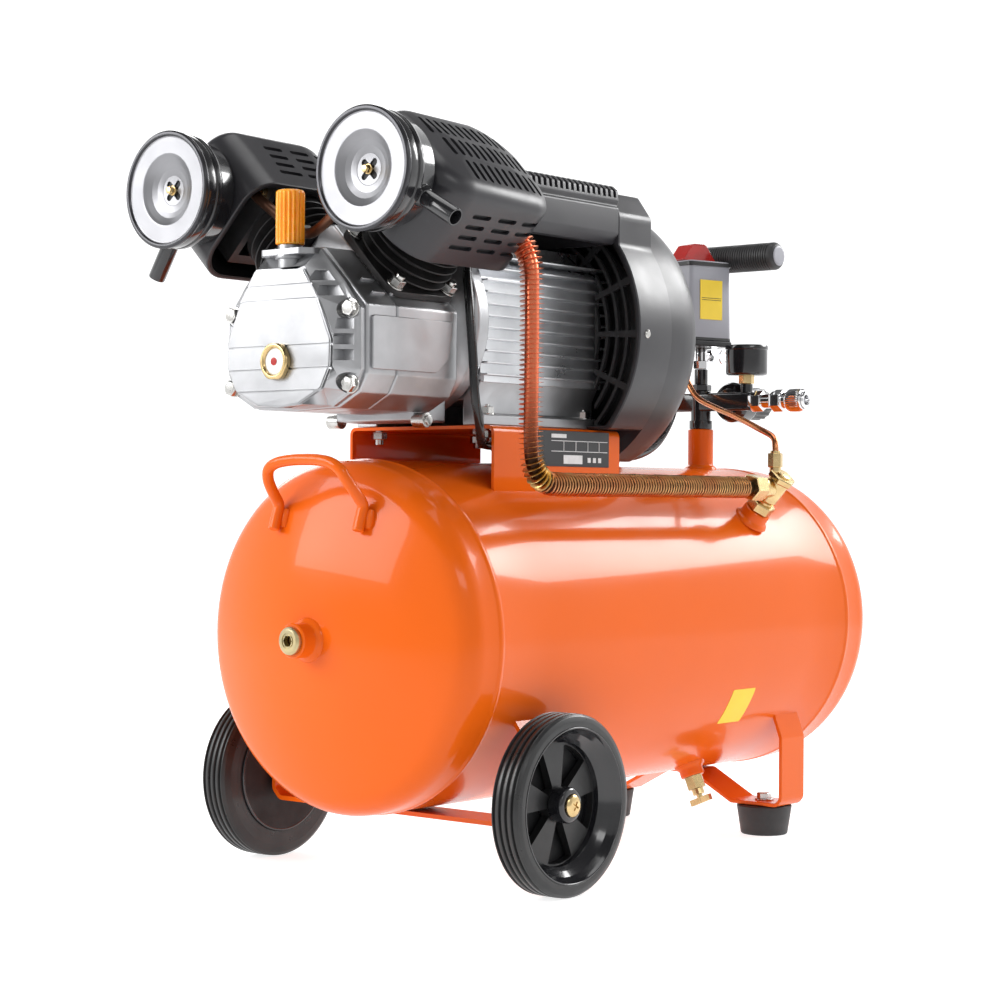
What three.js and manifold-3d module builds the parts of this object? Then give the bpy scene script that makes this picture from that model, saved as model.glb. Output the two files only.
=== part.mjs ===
// Twin-cylinder direct-drive air compressor on a horizontal tank, in millimetres.
// +X runs along the tank from the pump end to the handle end, +Z is up, and the floor is Z = 0.
// "left" is the -Y side: the left hand of a person who stands at the handle and faces the pump.
import * as THREE from "three";
import { mergeVertices } from "three/addons/utils/BufferGeometryUtils.js";
import Module from "manifold-3d";

const wasm = await Module();
wasm.setup();

// ---- Driving dimensions -------------------------------------------------------------------
const GAP = 0.3; // clearance between touching pieces
const ORIGIN_X = 247.25; // the front tank seam sits this far in front of the origin
const TANK = { radius: 155, wall: 2.5, length: 554, z: 215.5, dish: 54, knuckle: 28 };
const AXIS_Z = 493; // crankshaft and motor axis
const WHEEL = { x: 57.5, radius: 78, inner: 158, outer: 189, rim: 48 };
const FOOT = { x: 488, y: 99, height: 30 };
const BRACKET = { front: 70, rear: 254, half: 86.7, top: 402, sheet: 3 };
const CRANK = { throw: 18, pin: 8, journal: 14 };
const BORE = 47.6; // cylinder bore
const BANK_FACE = 60; // crank axis to the cylinder seat
const BANK_TOP = 118; // crank axis to the cylinder's upper face
const BANKS = { left: { side: -1, x: -10 }, right: { side: 1, x: -18 } };
const HEAD_HALF = 43;
const PORT_U = 156; // crank axis to the air filter's axis
const STATOR = { front: 66, rear: 243, fin: 80, body: 66, bore: 60.3 };
const SHROUD = { front: 217, rear: 330, mouth: 137, tail: 130, wall: 3 };
const POST_X = 514; // tank outlet post under the manifold
const ARM_Z = 440; // manifold arm height
const VALVE = { x: 433, y: -116, z: 318, tilt: 41 }; // check valve seat on the tank
const DRAIN = { x: 410, angle: 157 };
const SWITCH = { x: 502, y: 4, turn: -15, low: 500, high: 586 };
const PUSH = { x: 548, z: 593, foot: 408, leg: 54, radius: 11, end: -67 };
const PIPE = { x: 53, y: -142, low: 350, radius: 10.8, end: 391 };

// ---- Finishes -----------------------------------------------------------------------------
const finish = (color, roughness, metalness = 0) =>
  new THREE.MeshStandardMaterial({ color, roughness, metalness });
const ORANGE = finish(0xe8551a, 0.3);
const BLACK = finish(0x1c1c1e, 0.35);
const CHARCOAL = finish(0x3a393c, 0.55);
const RUBBER = finish(0x17171a, 0.8);
const ALLOY = finish(0xc9cbce, 0.4, 0.9);
const IRON = finish(0x2a2a2c, 0.6, 0.5);
const STEEL = finish(0x9a9a98, 0.4, 0.9);
const CHROME = finish(0xdcdcdc, 0.12, 1);
const BRASS = finish(0xc8a55a, 0.3, 1);
const COPPER = finish(0xb0633c, 0.35, 1);
const RED = finish(0xb82a24, 0.25);
const AMBER = finish(0xf59a22, 0.5);
const GREY = finish(0x84838b, 0.5);

// ---- Shape helpers ------------------------------------------------------------------------
const model = new THREE.Group();
const machine = new THREE.Group();
machine.position.x = -ORIGIN_X;
model.add(machine);

function add(name, material, geometry, parent = machine) {
  const mesh = new THREE.Mesh(geometry, material);
  mesh.name = name;
  parent.add(mesh);
  return mesh;
}

// A closed geometry as a solid, turned right side out.
function solid(geometry) {
  const bare = new THREE.BufferGeometry();
  const source = geometry.index ? geometry.toNonIndexed() : geometry;
  bare.setAttribute("position", source.getAttribute("position").clone());
  const merged = mergeVertices(bare, 1e-3);
  const corners = Array.from(merged.index.array);
  const make = () =>
    new wasm.Manifold(
      new wasm.Mesh({
        numProp: 3,
        vertProperties: Float32Array.from(merged.attributes.position.array),
        triVerts: Uint32Array.from(corners),
      }),
    );
  let made = make();
  if (made.volume() < 0) {
    corners.reverse();
    made = make();
  }
  return made;
}

function geometryOf(manifold) {
  const mesh = manifold.getMesh();
  const geometry = new THREE.BufferGeometry();
  const positions = new THREE.BufferAttribute(Float32Array.from(mesh.vertProperties), 3);
  geometry.setAttribute("position", positions);
  geometry.setIndex(new THREE.BufferAttribute(Uint32Array.from(mesh.triVerts), 1));
  geometry.computeVertexNormals();
  return geometry;
}

// Joins a list of geometries, then cuts another list from them.
function carve(joined, cuts = []) {
  let result = solid(joined[0]);
  for (const piece of joined.slice(1)) result = result.add(solid(piece));
  for (const piece of cuts) result = result.subtract(solid(piece));
  return geometryOf(result);
}

const AXES = {
  x: new THREE.Matrix4().makeBasis(
    new THREE.Vector3(0, 1, 0), new THREE.Vector3(1, 0, 0), new THREE.Vector3(0, 0, -1)),
  y: new THREE.Matrix4(),
  z: new THREE.Matrix4().makeBasis(
    new THREE.Vector3(1, 0, 0), new THREE.Vector3(0, 0, 1), new THREE.Vector3(0, -1, 0)),
};

// Revolves [radius, height] points about an axis through a centre.
function turned(axis, centre, points, segments = 20) {
  const profile = points.map(([r, h]) => new THREE.Vector2(r, h));
  const open = points[0][0] === 0 && points.at(-1)[0] === 0;
  if (THREE.ShapeUtils.area(profile) < 0) profile.reverse();
  if (!open) profile.push(profile[0].clone());
  const geometry = new THREE.LatheGeometry(profile, segments);
  return geometry.applyMatrix4(AXES[axis]).translate(...centre);
}

const rod = (axis, centre, radius, from, to, segments = 14) =>
  turned(axis, centre, [[0, from], [radius, from], [radius, to], [0, to]], segments);
const ring = (axis, centre, inner, outer, from, to, segments = 20) =>
  turned(axis, centre, [[inner, from], [outer, from], [outer, to], [inner, to]], segments);
const hexagon = (axis, centre, flats, from, to) =>
  rod(axis, centre, flats / Math.sqrt(3), from, to, 6);
const block = (x, y, z) =>
  new THREE.BoxGeometry(x[1] - x[0], y[1] - y[0], z[1] - z[0]).translate(
    (x[0] + x[1]) / 2, (y[0] + y[1]) / 2, (z[0] + z[1]) / 2);

const outlineOf = (points) => new THREE.Shape(points.map(([a, b]) => new THREE.Vector2(a, b)));

// A [Y, Z] outline carried along X.
function profileAlongX(points, from, to) {
  const geometry = new THREE.ExtrudeGeometry(outlineOf(points), {
    depth: to - from, bevelEnabled: false, curveSegments: 6 });
  const basis = new THREE.Matrix4().makeBasis(
    new THREE.Vector3(0, 1, 0), new THREE.Vector3(0, 0, 1), new THREE.Vector3(1, 0, 0));
  return geometry.applyMatrix4(basis).translate(from, 0, 0);
}

// A bent sheet: the outline on both sides of a centre line.
function sheetOutline(line, thickness) {
  const sides = [[], []];
  line.forEach((point, i) => {
    const before = line[Math.max(i - 1, 0)];
    const after = line[Math.min(i + 1, line.length - 1)];
    const unit = (p, q) => new THREE.Vector2(q[0] - p[0], q[1] - p[1]).normalize();
    const inward = i ? unit(before, point) : unit(point, after);
    const onward = i < line.length - 1 ? unit(point, after) : inward;
    const along = inward.clone().add(onward).normalize();
    const reach = thickness / 2 / along.dot(onward);
    sides[0].push([point[0] - along.y * reach, point[1] + along.x * reach]);
    sides[1].unshift([point[0] + along.y * reach, point[1] - along.x * reach]);
  });
  return [...sides[0], ...sides[1]];
}

const mirrored = (half) => [...half, ...half.slice(0, -1).reverse().map(([y, z]) => [-y, z])];

// A round bar or pipe along a smooth curve.
function bent(points, radius, sides = 10, steps = 30, tension = 0.5) {
  const curve = new THREE.CatmullRomCurve3(
    points.map((p) => new THREE.Vector3(...p)), false, "catmullrom", tension);
  const section = outlineOf(
    Array.from({ length: sides }, (_, i) => {
      const angle = (2 * Math.PI * i) / sides;
      return [radius * Math.cos(angle), radius * Math.sin(angle)];
    }));
  return new THREE.ExtrudeGeometry(section, {
    steps, extrudePath: curve, bevelEnabled: false });
}

// A rounded rectangle as a shape, for boxes with soft corners.
function roundedShape(x0, y0, x1, y1, r, corners = [r, r, r, r]) {
  const shape = new THREE.Shape();
  const [a, b, c, d] = corners;
  shape.moveTo(x0 + a, y0).lineTo(x1 - b, y0);
  shape.absarc(x1 - b, y0 + b, b, -Math.PI / 2, 0);
  shape.lineTo(x1, y1 - c).absarc(x1 - c, y1 - c, c, 0, Math.PI / 2);
  shape.lineTo(x0 + d, y1).absarc(x0 + d, y1 - d, d, Math.PI / 2, Math.PI);
  shape.lineTo(x0, y0 + a).absarc(x0 + a, y0 + a, a, Math.PI, 1.5 * Math.PI);
  return shape;
}

function softBox(shape, from, to, edge = 0, curveSegments = 3) {
  const geometry = new THREE.ExtrudeGeometry(shape, {
    depth: to - from - 2 * edge, bevelEnabled: edge > 0, bevelThickness: edge,
    bevelSize: edge, bevelOffset: -edge, bevelSegments: 2, curveSegments });
  return geometry.translate(0, 0, from + edge);
}

// ---- Tank ---------------------------------------------------------------------------------
// Half of a dished end, from the cylinder's edge to the pole, as [radius, distance outwards].
function dish(radius, depth, knuckle, steps = 8) {
  const crown =
    (depth ** 2 + (radius - knuckle) ** 2 - knuckle ** 2) / (2 * (depth - knuckle));
  const turn = Math.atan2(radius - knuckle, crown - depth);
  const points = [];
  for (let i = 0; i <= 2; i++) {
    const angle = Math.PI / 2 - ((Math.PI / 2 - turn) * i) / 2;
    points.push([radius - knuckle + knuckle * Math.sin(angle), knuckle * Math.cos(angle)]);
  }
  for (let i = 1; i <= steps; i++) {
    const angle = turn * (1 - i / steps);
    points.push([crown * Math.sin(angle), depth - crown + crown * Math.cos(angle)]);
  }
  return points;
}

const FRONT_EDGE = -20;
const REAR_EDGE = TANK.length + 24;
const PORT_HOLE = 9.5;

function tankProfile(shrink, hole) {
  const half = dish(TANK.radius - shrink, TANK.dish - shrink, TANK.knuckle - shrink, 4);
  const front = half.map(([r, d]) => [r, FRONT_EDGE - d]).reverse();
  const rear = half.map(([r, d]) => [r, REAR_EDGE + d]);
  front[0][0] = hole;
  rear.at(-1)[0] = 0;
  return [...front, ...rear];
}

function radial(angleDegrees, distance, x) {
  const angle = THREE.MathUtils.degToRad(angleDegrees);
  return [x, -distance * Math.sin(angle), TANK.z + distance * Math.cos(angle)];
}

// Moves a piece made about the +Z axis to a seat tilted towards -Y.
function seated(geometry, tiltDegrees, point) {
  return geometry.rotateX(THREE.MathUtils.degToRad(tiltDegrees)).translate(...point);
}

const TANK_CENTRE = [0, 0, TANK.z];
const envelope = () => turned("x", TANK_CENTRE, tankProfile(-GAP, 0), 28);

function tankShell() {
  const wall = [...tankProfile(0, PORT_HOLE), ...tankProfile(TANK.wall, PORT_HOLE).reverse()];
  const shell = turned("x", TANK_CENTRE, wall, 28);
  const frontBoss = ring("x", TANK_CENTRE, PORT_HOLE, 15, -92, -72);
  const postBoss = rod("z", [POST_X, 0, 0], 13.3, 366, 412);
  const valveSeat = [VALVE.x, VALVE.y, VALVE.z];
  const drainSeat = radial(DRAIN.angle, TANK.radius, DRAIN.x);
  const valveBoss = seated(rod("z", [0, 0, 0], 14, -6, 14), VALVE.tilt, valveSeat);
  const drainBoss = seated(rod("z", [0, 0, 0], 12, -2, 12), DRAIN.angle, drainSeat);
  return carve(
    [shell, frontBoss, postBoss, valveBoss, drainBoss],
    [
      rod("z", [POST_X, 0, 0], 10.2, 340, 420),
      seated(rod("z", [0, 0, 0], 8.3, -20, 20), VALVE.tilt, valveSeat),
      seated(rod("z", [0, 0, 0], 7.3, -20, 20), DRAIN.angle, drainSeat),
    ]);
}
add("tank_shell", ORANGE, tankShell());

add("front_port_plug", BRASS, carve(
  [rod("x", TANK_CENTRE, 9.2, -88, -74), hexagon("x", TANK_CENTRE, 22, -97, -92 - GAP),
    rod("x", TANK_CENTRE, 6, -93, -87)],
  [hexagon("x", TANK_CENTRE, 8, -98, -92)]));

const HANDLE_BAR = 5;
add("tank_handle", ORANGE, carve(
  [bent([[-46, -50, 306], [-64, -50, 326], [-79, -48, 346], [-82, -41, 364], [-81, -26, 371],
    [-78, 0, 374], [-81, 26, 371], [-82, 41, 364], [-79, 48, 346], [-64, 50, 326],
    [-46, 50, 306]], HANDLE_BAR, 8, 20)],
  [envelope()]));

// ---- Brackets, wheels and feet -------------------------------------------------------------
const AXLE_HOLE = 6.3;
const frontStrap = [[-135, 150], [-151, 130], [-151, 66], [-143, 58], [0, 58]];
add("front_bracket", ORANGE, carve(
  [profileAlongX(sheetOutline(mirrored(frontStrap), 4), WHEEL.x - 20, WHEEL.x + 20)],
  [envelope(), rod("y", [WHEEL.x, 0, WHEEL.radius], AXLE_HOLE, -160, 160)]));

const rearStrap = [[-121, 127], [-131, 100], [-131, 38], [-126, 32.1], [-72, 32.1], [-24, 58.3],
  [0, 58.3]];
const footHoles = [-1, 1].map((side) =>
  rod("z", [FOOT.x, side * FOOT.y, 0], 4.6, FOOT.height - 5, FOOT.height + 10));
add("rear_bracket", ORANGE, carve(
  [profileAlongX(sheetOutline(mirrored(rearStrap), 3.6), FOOT.x - 21, FOOT.x + 21)],
  [envelope(), ...footHoles]));

function tyre(side) {
  const { inner, outer, radius, rim } = WHEEL;
  const groove = (y) => [[radius, y - 1.6], [radius - 3, y - 1], [radius - 3, y + 1],
    [radius, y + 1.6]];
  const tread = [inner + 10, inner + 21].flatMap(groove);
  const section = [[rim, inner], [radius - 9, inner], [radius - 1, inner + 4],
    [radius, inner + 6], ...tread, [radius, outer - 6], [radius - 1, outer - 4],
    [radius - 9, outer], [rim, outer]];
  return turned("y", [WHEEL.x, 0, radius], section.map(([r, y]) => [r, side * y]));
}

function hub(side) {
  const rim = WHEEL.rim - GAP;
  const bore = 6.4;
  const section = [[bore, 154], [13, 154], [13, 168], [42, 168], [44, 161], [rim, 161],
    [rim, 186], [44, 186], [42, 175], [15, 175], [13, 185.5], [bore, 185.5]];
  return turned("y", [WHEEL.x, 0, WHEEL.radius], section.map(([r, y]) => [r, side * y]));
}

function axleBolt(side) {
  const centre = [WHEEL.x, 0, WHEEL.radius];
  const ends = (a, b) => (side > 0 ? [a, b] : [-b, -a]);
  return carve([
    rod("y", centre, 6, ...ends(144, 188)),
    rod("y", centre, 9.5, ...ends(186, 189)),
    hexagon("y", centre, 18, ...ends(138, 148 + 0.5)),
  ]);
}

for (const [name, side] of [["left", -1], ["right", 1]]) {
  add("tyre_" + name, RUBBER, tyre(side));
  add("hub_" + name, BLACK, hub(side));
  add("axle_bolt_" + name, BRASS, axleBolt(side));
  const seat = [FOOT.x, side * FOOT.y, 0];
  add("foot_" + name, RUBBER, carve(
    [turned("z", seat, [[0, 4], [10, 4], [10, 0], [24.5, 0], [27, 6], [28, 18],
      [27, FOOT.height - GAP], [0, FOOT.height - GAP]]),
      rod("z", seat, 4, 10, 48, 12), hexagon("z", seat, 13, 34.5, 41)]));
}

// ---- Drain ----------------------------------------------------------------------------------
const drainAt = (from, to, make) =>
  seated(make(from, to), DRAIN.angle, radial(DRAIN.angle, TANK.radius, DRAIN.x));
add("drain_valve", BRASS, carve(
  [drainAt(-3, 14, (a, b) => rod("z", [0, 0, 0], 7, a, b)),
    drainAt(12 + GAP, 25, (a, b) => hexagon("z", [0, 0, 0], 17, a, b))],
  [drainAt(-4, 26, (a, b) => rod("z", [0, 0, 0], 3.4, a, b))]));
add("drain_tap", BRASS, carve(
  [drainAt(8, 40, (a, b) => rod("z", [0, 0, 0], 3, a, b, 10)),
    drainAt(25 + GAP, 31, (a, b) => rod("z", [0, 0, 0], 6, a, b)),
    drainAt(34, 40, (a, b) => block([-2.5, 2.5], [-12, 12], [a, b]))]));

// ---- Motor bracket --------------------------------------------------------------------------
const half = BRACKET.half - BRACKET.sheet / 2;
const channel = [[-half, 320], [-half, BRACKET.top - 7], [-half + 5.5, BRACKET.top - 1.5],
  [0, BRACKET.top - 1.5]];
add("motor_bracket", ORANGE, carve(
  [profileAlongX(sheetOutline(mirrored(channel), BRACKET.sheet), BRACKET.front, BRACKET.rear)],
  [envelope(),
    ...[85, 226].flatMap((x) => [-64, 64].map((y) => rod("z", [x, y, 0], 4.5, 390, 410, 16)))]));

// ---- Motor ----------------------------------------------------------------------------------
const SHAFT = [0, 0, AXIS_Z];

function motorFrame() {
  const { front, rear, fin, body, bore } = STATOR;
  const parts = [rod("x", SHAFT, body, front, rear, 28)];
  for (let i = 0; i < 7; i++) {
    const z = AXIS_Z - 48 + i * 16;
    parts.push(block([front + 2, rear], [-fin, fin], [z - 1.4, z + 1.4]));
  }
  for (const y of [-34, 0, 34])
    parts.push(block([front + 2, rear], [y - 1.4, y + 1.4], [AXIS_Z, AXIS_Z + 76]));
  const pedestal = [[-74, 443], [74, 443], [66, 412], [76, 411], [76, BRACKET.top + GAP],
    [-76, BRACKET.top + GAP], [-76, 411], [-66, 412]];
  parts.push(profileAlongX(pedestal, front + 2, 238));
  const bolts = [85, 226].flatMap((x) => [-64, 64].map((y) => [x, y]));
  const holes = bolts.map(([x, y]) => rod("z", [x, y, 0], 4.5, 395, 420, 12));
  return carve(parts, [
    rod("x", SHAFT, bore, front - 1, rear - 9, 20),
    rod("x", SHAFT, 10.5, front, rear + 1),
    ...holes,
    block([front, 240], [-52, 52], [400, 425]),
  ]);
}
add("motor_frame", ALLOY, motorFrame());

add("stator_core", COPPER, turned("x", SHAFT,
  [[40, 82], [56, 82], [56, 96], [60, 96], [60, 204], [56, 204], [56, 220], [40, 220], [34, 206],
    [34, 94]], 20));

add("crankshaft", STEEL, carve([
  turned("x", SHAFT, [[0, 10], [30, 10], [30, 18], [CRANK.journal, 20], [CRANK.journal, 68],
    [11.6, 70], [11.6, 222], [10, 224], [10, 318], [0, 318]], 18),
  rod("x", [0, 0, AXIS_Z + CRANK.throw], CRANK.pin, -26, 12),
]));
add("rotor", STEEL, turned("x", SHAFT,
  [[12, 90], [28, 90], [28, 96], [33.3, 96], [33.3, 204], [28, 204], [28, 210], [12, 210]], 18));

function fan() {
  const blades = [];
  for (let i = 0; i < 7; i++) {
    const blade = new THREE.BoxGeometry(34, 3, 84);
    blade.translate(0, 0, 64).rotateZ(0.6).rotateX((2 * Math.PI * i) / 7);
    blades.push(blade.translate(284, 0, AXIS_Z));
  }
  const hubRing = ring("x", SHAFT, 10.3, 28, 262, 306, 28);
  return carve([hubRing, ...blades], [rod("x", SHAFT, 10.3, 255, 312)]);
}
add("fan", BLACK, fan());

function fanShroud() {
  const { front, rear, mouth, tail, wall } = SHROUD;
  const outer = [[84, front + 8], [mouth - wall, front + 8], [mouth - wall, front],
    [mouth, front], [mouth, front + 6], [tail + 4, rear - 26], [tail - 2, rear - 10],
    [tail - 10, rear - 2], [tail - 18, rear], [24, rear], [24, rear - wall],
    [tail - 18, rear - wall], [tail - 9, rear - 10], [tail - 2, rear - 26],
    [mouth - wall - 0.5, front + 11], [84, front + 11]];
  const shell = turned("x", SHAFT, outer, 28);
  const hump = profileAlongX(
    [[-112, 568], [-112, 600], [-96, 622], [96, 622], [112, 600], [112, 568]],
    front, front + 52);
  const hollow = rod("x", SHAFT, mouth - wall - 2, front + 12, front + 60, 28);
  const cap = carve([hump], [hollow, block([front - 1, front + 12], [-100, 100], [500, 560])]);
  const slots = [];
  for (let i = 0; i < 6; i++) {
    for (const [x, r, length] of [[rear - 2, 48, 26], [rear - 2, 82, 48], [front + 9, 109, 62]]) {
      const slot = new THREE.BoxGeometry(12, length, 20);
      slots.push(slot.translate(0, 0, r).rotateX((Math.PI * (2 * i + 1)) / 6)
        .translate(x, 0, AXIS_Z));
    }
  }
  return carve([shell, cap], [...slots,
    block([front - 5, BRACKET.rear + 14], [-140, 140], [340, BRACKET.top + 1]),
    block([front - 5, rear + 5], [-140, 140], [340, 374]),
    block([front - 5, rear + 5], [-48, -24], [340, 390]),
    block([front - 5, 245], [-81, 81], [400, AXIS_Z + 53]),
    block([front - 5, 245], [-39, 39], [AXIS_Z, 571])]);
}
add("fan_shroud", CHARCOAL, fanShroud());

// Wiring and capacitor housing that straddles the motor.
const CAP = { front: 68, rear: SHROUD.front - GAP, half: 112, low: 572, high: 626 };
function capacitorBox() {
  const outline = [[-CAP.half + 6, CAP.low], [-CAP.half, CAP.low + 8], [-CAP.half, 612],
    [-CAP.half + 3, 614], [-CAP.half + 3, 623], [-CAP.half + 6, CAP.high],
    [CAP.half - 6, CAP.high], [CAP.half - 3, 623], [CAP.half - 3, 614], [CAP.half, 612],
    [CAP.half, CAP.low + 8], [CAP.half - 6, CAP.low]];
  const room = block([CAP.front + 3, CAP.rear - 3], [-CAP.half + 9, CAP.half - 9],
    [CAP.low - 1, CAP.high - 3]);
  const teeth = [];
  for (let x = CAP.front + 6; x < CAP.rear - 4; x += 16)
    for (const y of [-CAP.half + 1, CAP.half - 1])
      teeth.push(block([x, x + 5], [y - 4, y + 4], [615, CAP.high + 1]));
  return carve([profileAlongX(outline, CAP.front, CAP.rear)], [room, ...teeth]);
}
add("capacitor_box", CHARCOAL, capacitorBox());

// ---- Pump: crankcase and cover ---------------------------------------------------------------
// The crankcase section: two seats at 45 degrees over straight sides and a round belly.
const CASE = { half: 80, bottom: 410, frontRoof: 548, middleRoof: 572 };
function houseOutline(inset, roofHeight = CASE.frontRoof) {
  const seat = BANK_FACE - inset;
  const side = CASE.half - inset;
  const roof = roofHeight - inset;
  const shoulder = AXIS_Z + seat * Math.SQRT2 - side;
  const peak = seat * Math.SQRT2 - (roof - AXIS_Z);
  const floor = CASE.bottom + inset;
  return mirrored([[-peak, roof], [-side, shoulder], [-side, 440], [-side + 9, floor + 14],
    [-side + 32, floor + 2], [0, floor]]);
}

const FLANGE_X = -87;
// A piece made about the local +Z axis, turned onto a cylinder bank of the given side.
function banked(geometry, side) {
  return geometry.rotateX((-side * Math.PI) / 4).translate(0, 0, AXIS_Z);
}

function crankcase() {
  const seats = Object.values(BANKS).map(({ side, x }) =>
    banked(rod("z", [x, 0, 0], 25.5, 40, 70), side));
  return carve(
    [profileAlongX(houseOutline(0), FLANGE_X + GAP, 36),
      profileAlongX(houseOutline(0, CASE.middleRoof), -50, 28),
      turned("x", SHAFT, [[0, 0], [57, 0], [57, 29], [70, 40], [84, 52], [84, 65.6], [0, 65.6]],
        24),
      block([8, 52], [-46, 46], [404, 440])],
    [profileAlongX(houseOutline(7), FLANGE_X - 1, 26),
      profileAlongX(houseOutline(7, CASE.middleRoof), -43, 21),
      rod("x", SHAFT, 14.6, 10, 70),
      ring("x", SHAFT, 30, 76, 44, 70, 32),
      ...seats]);
}
add("crankcase", ALLOY, crankcase());

function crankcaseCover() {
  const face = mirrored([[-27, 531], [-61, 490], [-61, 444], [-50, 424], [-20, 416], [0, 415]]);
  const room = mirrored([[-20, 524], [-54, 486], [-54, 448], [-44, 430], [0, 423]]);
  const bolts = [];
  for (const y of [-70, 70])
    for (const z of [492, 432]) bolts.push(hexagon("x", [0, y, z], 13, -99, -92));
  const grooves = [529, 514.5, 502, 464, 444.5, 426].map((z) =>
    block([-112, -109.8], [-70, 70], [z - 0.7, z + 0.7]));
  return carve(
    [profileAlongX(houseOutline(0.4), -93, FLANGE_X),
      profileAlongX(face, -111, -92),
      rod("z", [-97, 0, 0], 10.5, 520, 550),
      ...bolts],
    [profileAlongX(room, -106, FLANGE_X + 1),
      rod("x", [0, 0, 451], 12, -115, -100),
      rod("z", [-97, 0, 0], 7, 510, 560),
      ...grooves]);
}
add("crankcase_cover", ALLOY, crankcaseCover());

add("sight_glass", BRASS, turned("x", [0, 0, 451],
  [[0, -104], [11.7, -104], [11.7, -111.3], [15.5, -111.3], [15.5, -116], [12, -117], [11, -114],
    [0, -114]]));
add("breather_cap", AMBER, turned("z", [-97, 0, 0],
  [[0, 532], [6.6, 532], [6.6, 550.3], [12.3, 550.3], [12.3, 593], [10.5, 596.5], [0, 596.5]], 24));

// ---- Pump: the two banks ---------------------------------------------------------------------
// Each bank is modelled upright about the crank axis, then turned by 45 degrees. "out" is the
// sign of the local Y direction that points out of the V.
function cylinder() {
  const wall = [[BORE / 2, BANK_FACE + GAP], [38, BANK_FACE + GAP], [38, 67], [30, 67]];
  for (const u of [76, 87, 98]) wall.push([30, u], [43, u], [43, u + 2.5], [30, u + 2.5]);
  wall.push([30, 110], [40, 110], [40, BANK_TOP], [BORE / 2, BANK_TOP]);
  return turned("z", [0, 0, 0], wall, 16);
}

const portAxis = (out) => [0, 2 * out, PORT_U];

function head(out) {
  const low = BANK_TOP + GAP;
  const pocket = (from, to) => block([from, to], [-34, 34], [low - 1, 146]);
  const body = block([-HEAD_HALF, HEAD_HALF], [-HEAD_HALF, HEAD_HALF], [low, 168]);
  const cuts = [pocket(-36, -3), pocket(3, 36), rod("x", portAxis(out), 7, -87, -20),
    rod("z", [-24, 2 * out, 0], 7, 140, PORT_U), rod("x", [0, 28 * out, 137], 5, 30, 50),
    rod("x", [0, -28 * out, 130], 4, -50, -30)];
  for (let x = -30; x <= 30; x += 12) cuts.push(block([x - 3, x + 3], [-50, 50], [160, 170]));
  return carve([body, rod("x", portAxis(out), 11, -86, -40)], cuts);
}

const COVER = { front: -78, rear: 70, outer: 58, inner: 52, low: 112, high: 190, edge: 14 };
function headCover(out, notches) {
  const { front, rear, outer, inner, low, high, edge } = COVER;
  const radii = out < 0 ? [34, 40, 22, 22] : [22, 22, 40, 34];
  const [y0, y1] = out < 0 ? [-outer, inner] : [-inner, outer];
  const skin = softBox(roundedShape(front, y0, rear, y1, 0, radii), low - edge, high, edge);
  const room = softBox(
    roundedShape(front + 3, y0 + 3, rear - 3, y1 - 3, 0, radii.map((r) => r - 3)),
    low - 20, high - 3, edge - 2);
  return carve([skin], [room, block([-150, 150], [-150, 150], [60, low]),
    rod("x", portAxis(out), 12.5, front - 5, front + 10), ...notches]);
}

const SPOUT_TIP = 84.8; // filter axis to the intake spout's open end
function filterCan(out, clocking) {
  const body = turned("x", portAxis(out), [[11.4, -79], [44, -79], [45, -96], [50, -99],
    [50, -114], [46.5, -114], [46.5, -101], [42, -98], [41, -82], [11.4, -82]], 24);
  const pipe = (radius, from, to) =>
    rod("z", [0, 0, 0], radius, from, to, 12).rotateX(clocking).translate(-88, 2 * out, PORT_U);
  return carve([body, pipe(7.5, 43.5, SPOUT_TIP)], [pipe(5.5, 40, SPOUT_TIP + 5)]);
}

const filterLid = (out) => turned("x", portAxis(out),
  [[0, -107], [14, -107], [28, -113], [46, -114.3], [50, -114.3], [50, -119.5], [47, -119.5],
    [46, -117.5], [29, -117.5], [23, -112], [0, -110.5]], 20);

const WRIST_U = 84; // wrist pin height at mid-stroke
const piston = () => carve([
  carve([rod("z", [0, 0, 0], BORE / 2 - 0.4, 69.5, 99.5, 16)], [rod("z", [0, 0, 0], 18, 60, 94)]),
  rod("x", [0, 0, WRIST_U], 4.7, -19, 19, 16)]);

// The big end is opened to clear the crank pin's whole circle.
function conRod() {
  const half = 3.5;
  return carve(
    [rod("x", [0, 0, 0], 33, -half, half, 28), rod("x", [0, 0, WRIST_U], 9, -half, half, 16),
      block([-half, half], [-6, 6], [28, WRIST_U])],
    [rod("x", [0, 0, 0], 26.8, -9, 9, 28), rod("x", [0, 0, WRIST_U], 5, -9, 9, 16)]);
}

const dischargeRoute = [[33.5, -116.7, 570], [40, -116.7, 570], [51, -128, 562],
  [PIPE.x, PIPE.y + 2, 540], [PIPE.x, PIPE.y, 505], [PIPE.x, PIPE.y, 385],
  [PIPE.x + 5, PIPE.y, 363], [PIPE.x + 17, PIPE.y, PIPE.low + 3], [PIPE.x + 40, PIPE.y, PIPE.low],
  [PIPE.end, PIPE.y, PIPE.low]];
const crossoverRoute = [[-53.5, -72.1, 604.7], [-63, -72.1, 604.7], [-72, -67, 601.2],
  [-75, -58, 595], [-75, -36, 580], [-75, -13, 566], [-75, 0, 562], [-75, 13, 566],
  [-75, 36, 580], [-75, 60, 596.4], [-73, 68, 602], [-67, 72.1, 604.7], [-61.5, 72.1, 604.7]];
const SPOUT_CLOCKING = { left: 1.306, right: -1.792 };

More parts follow.
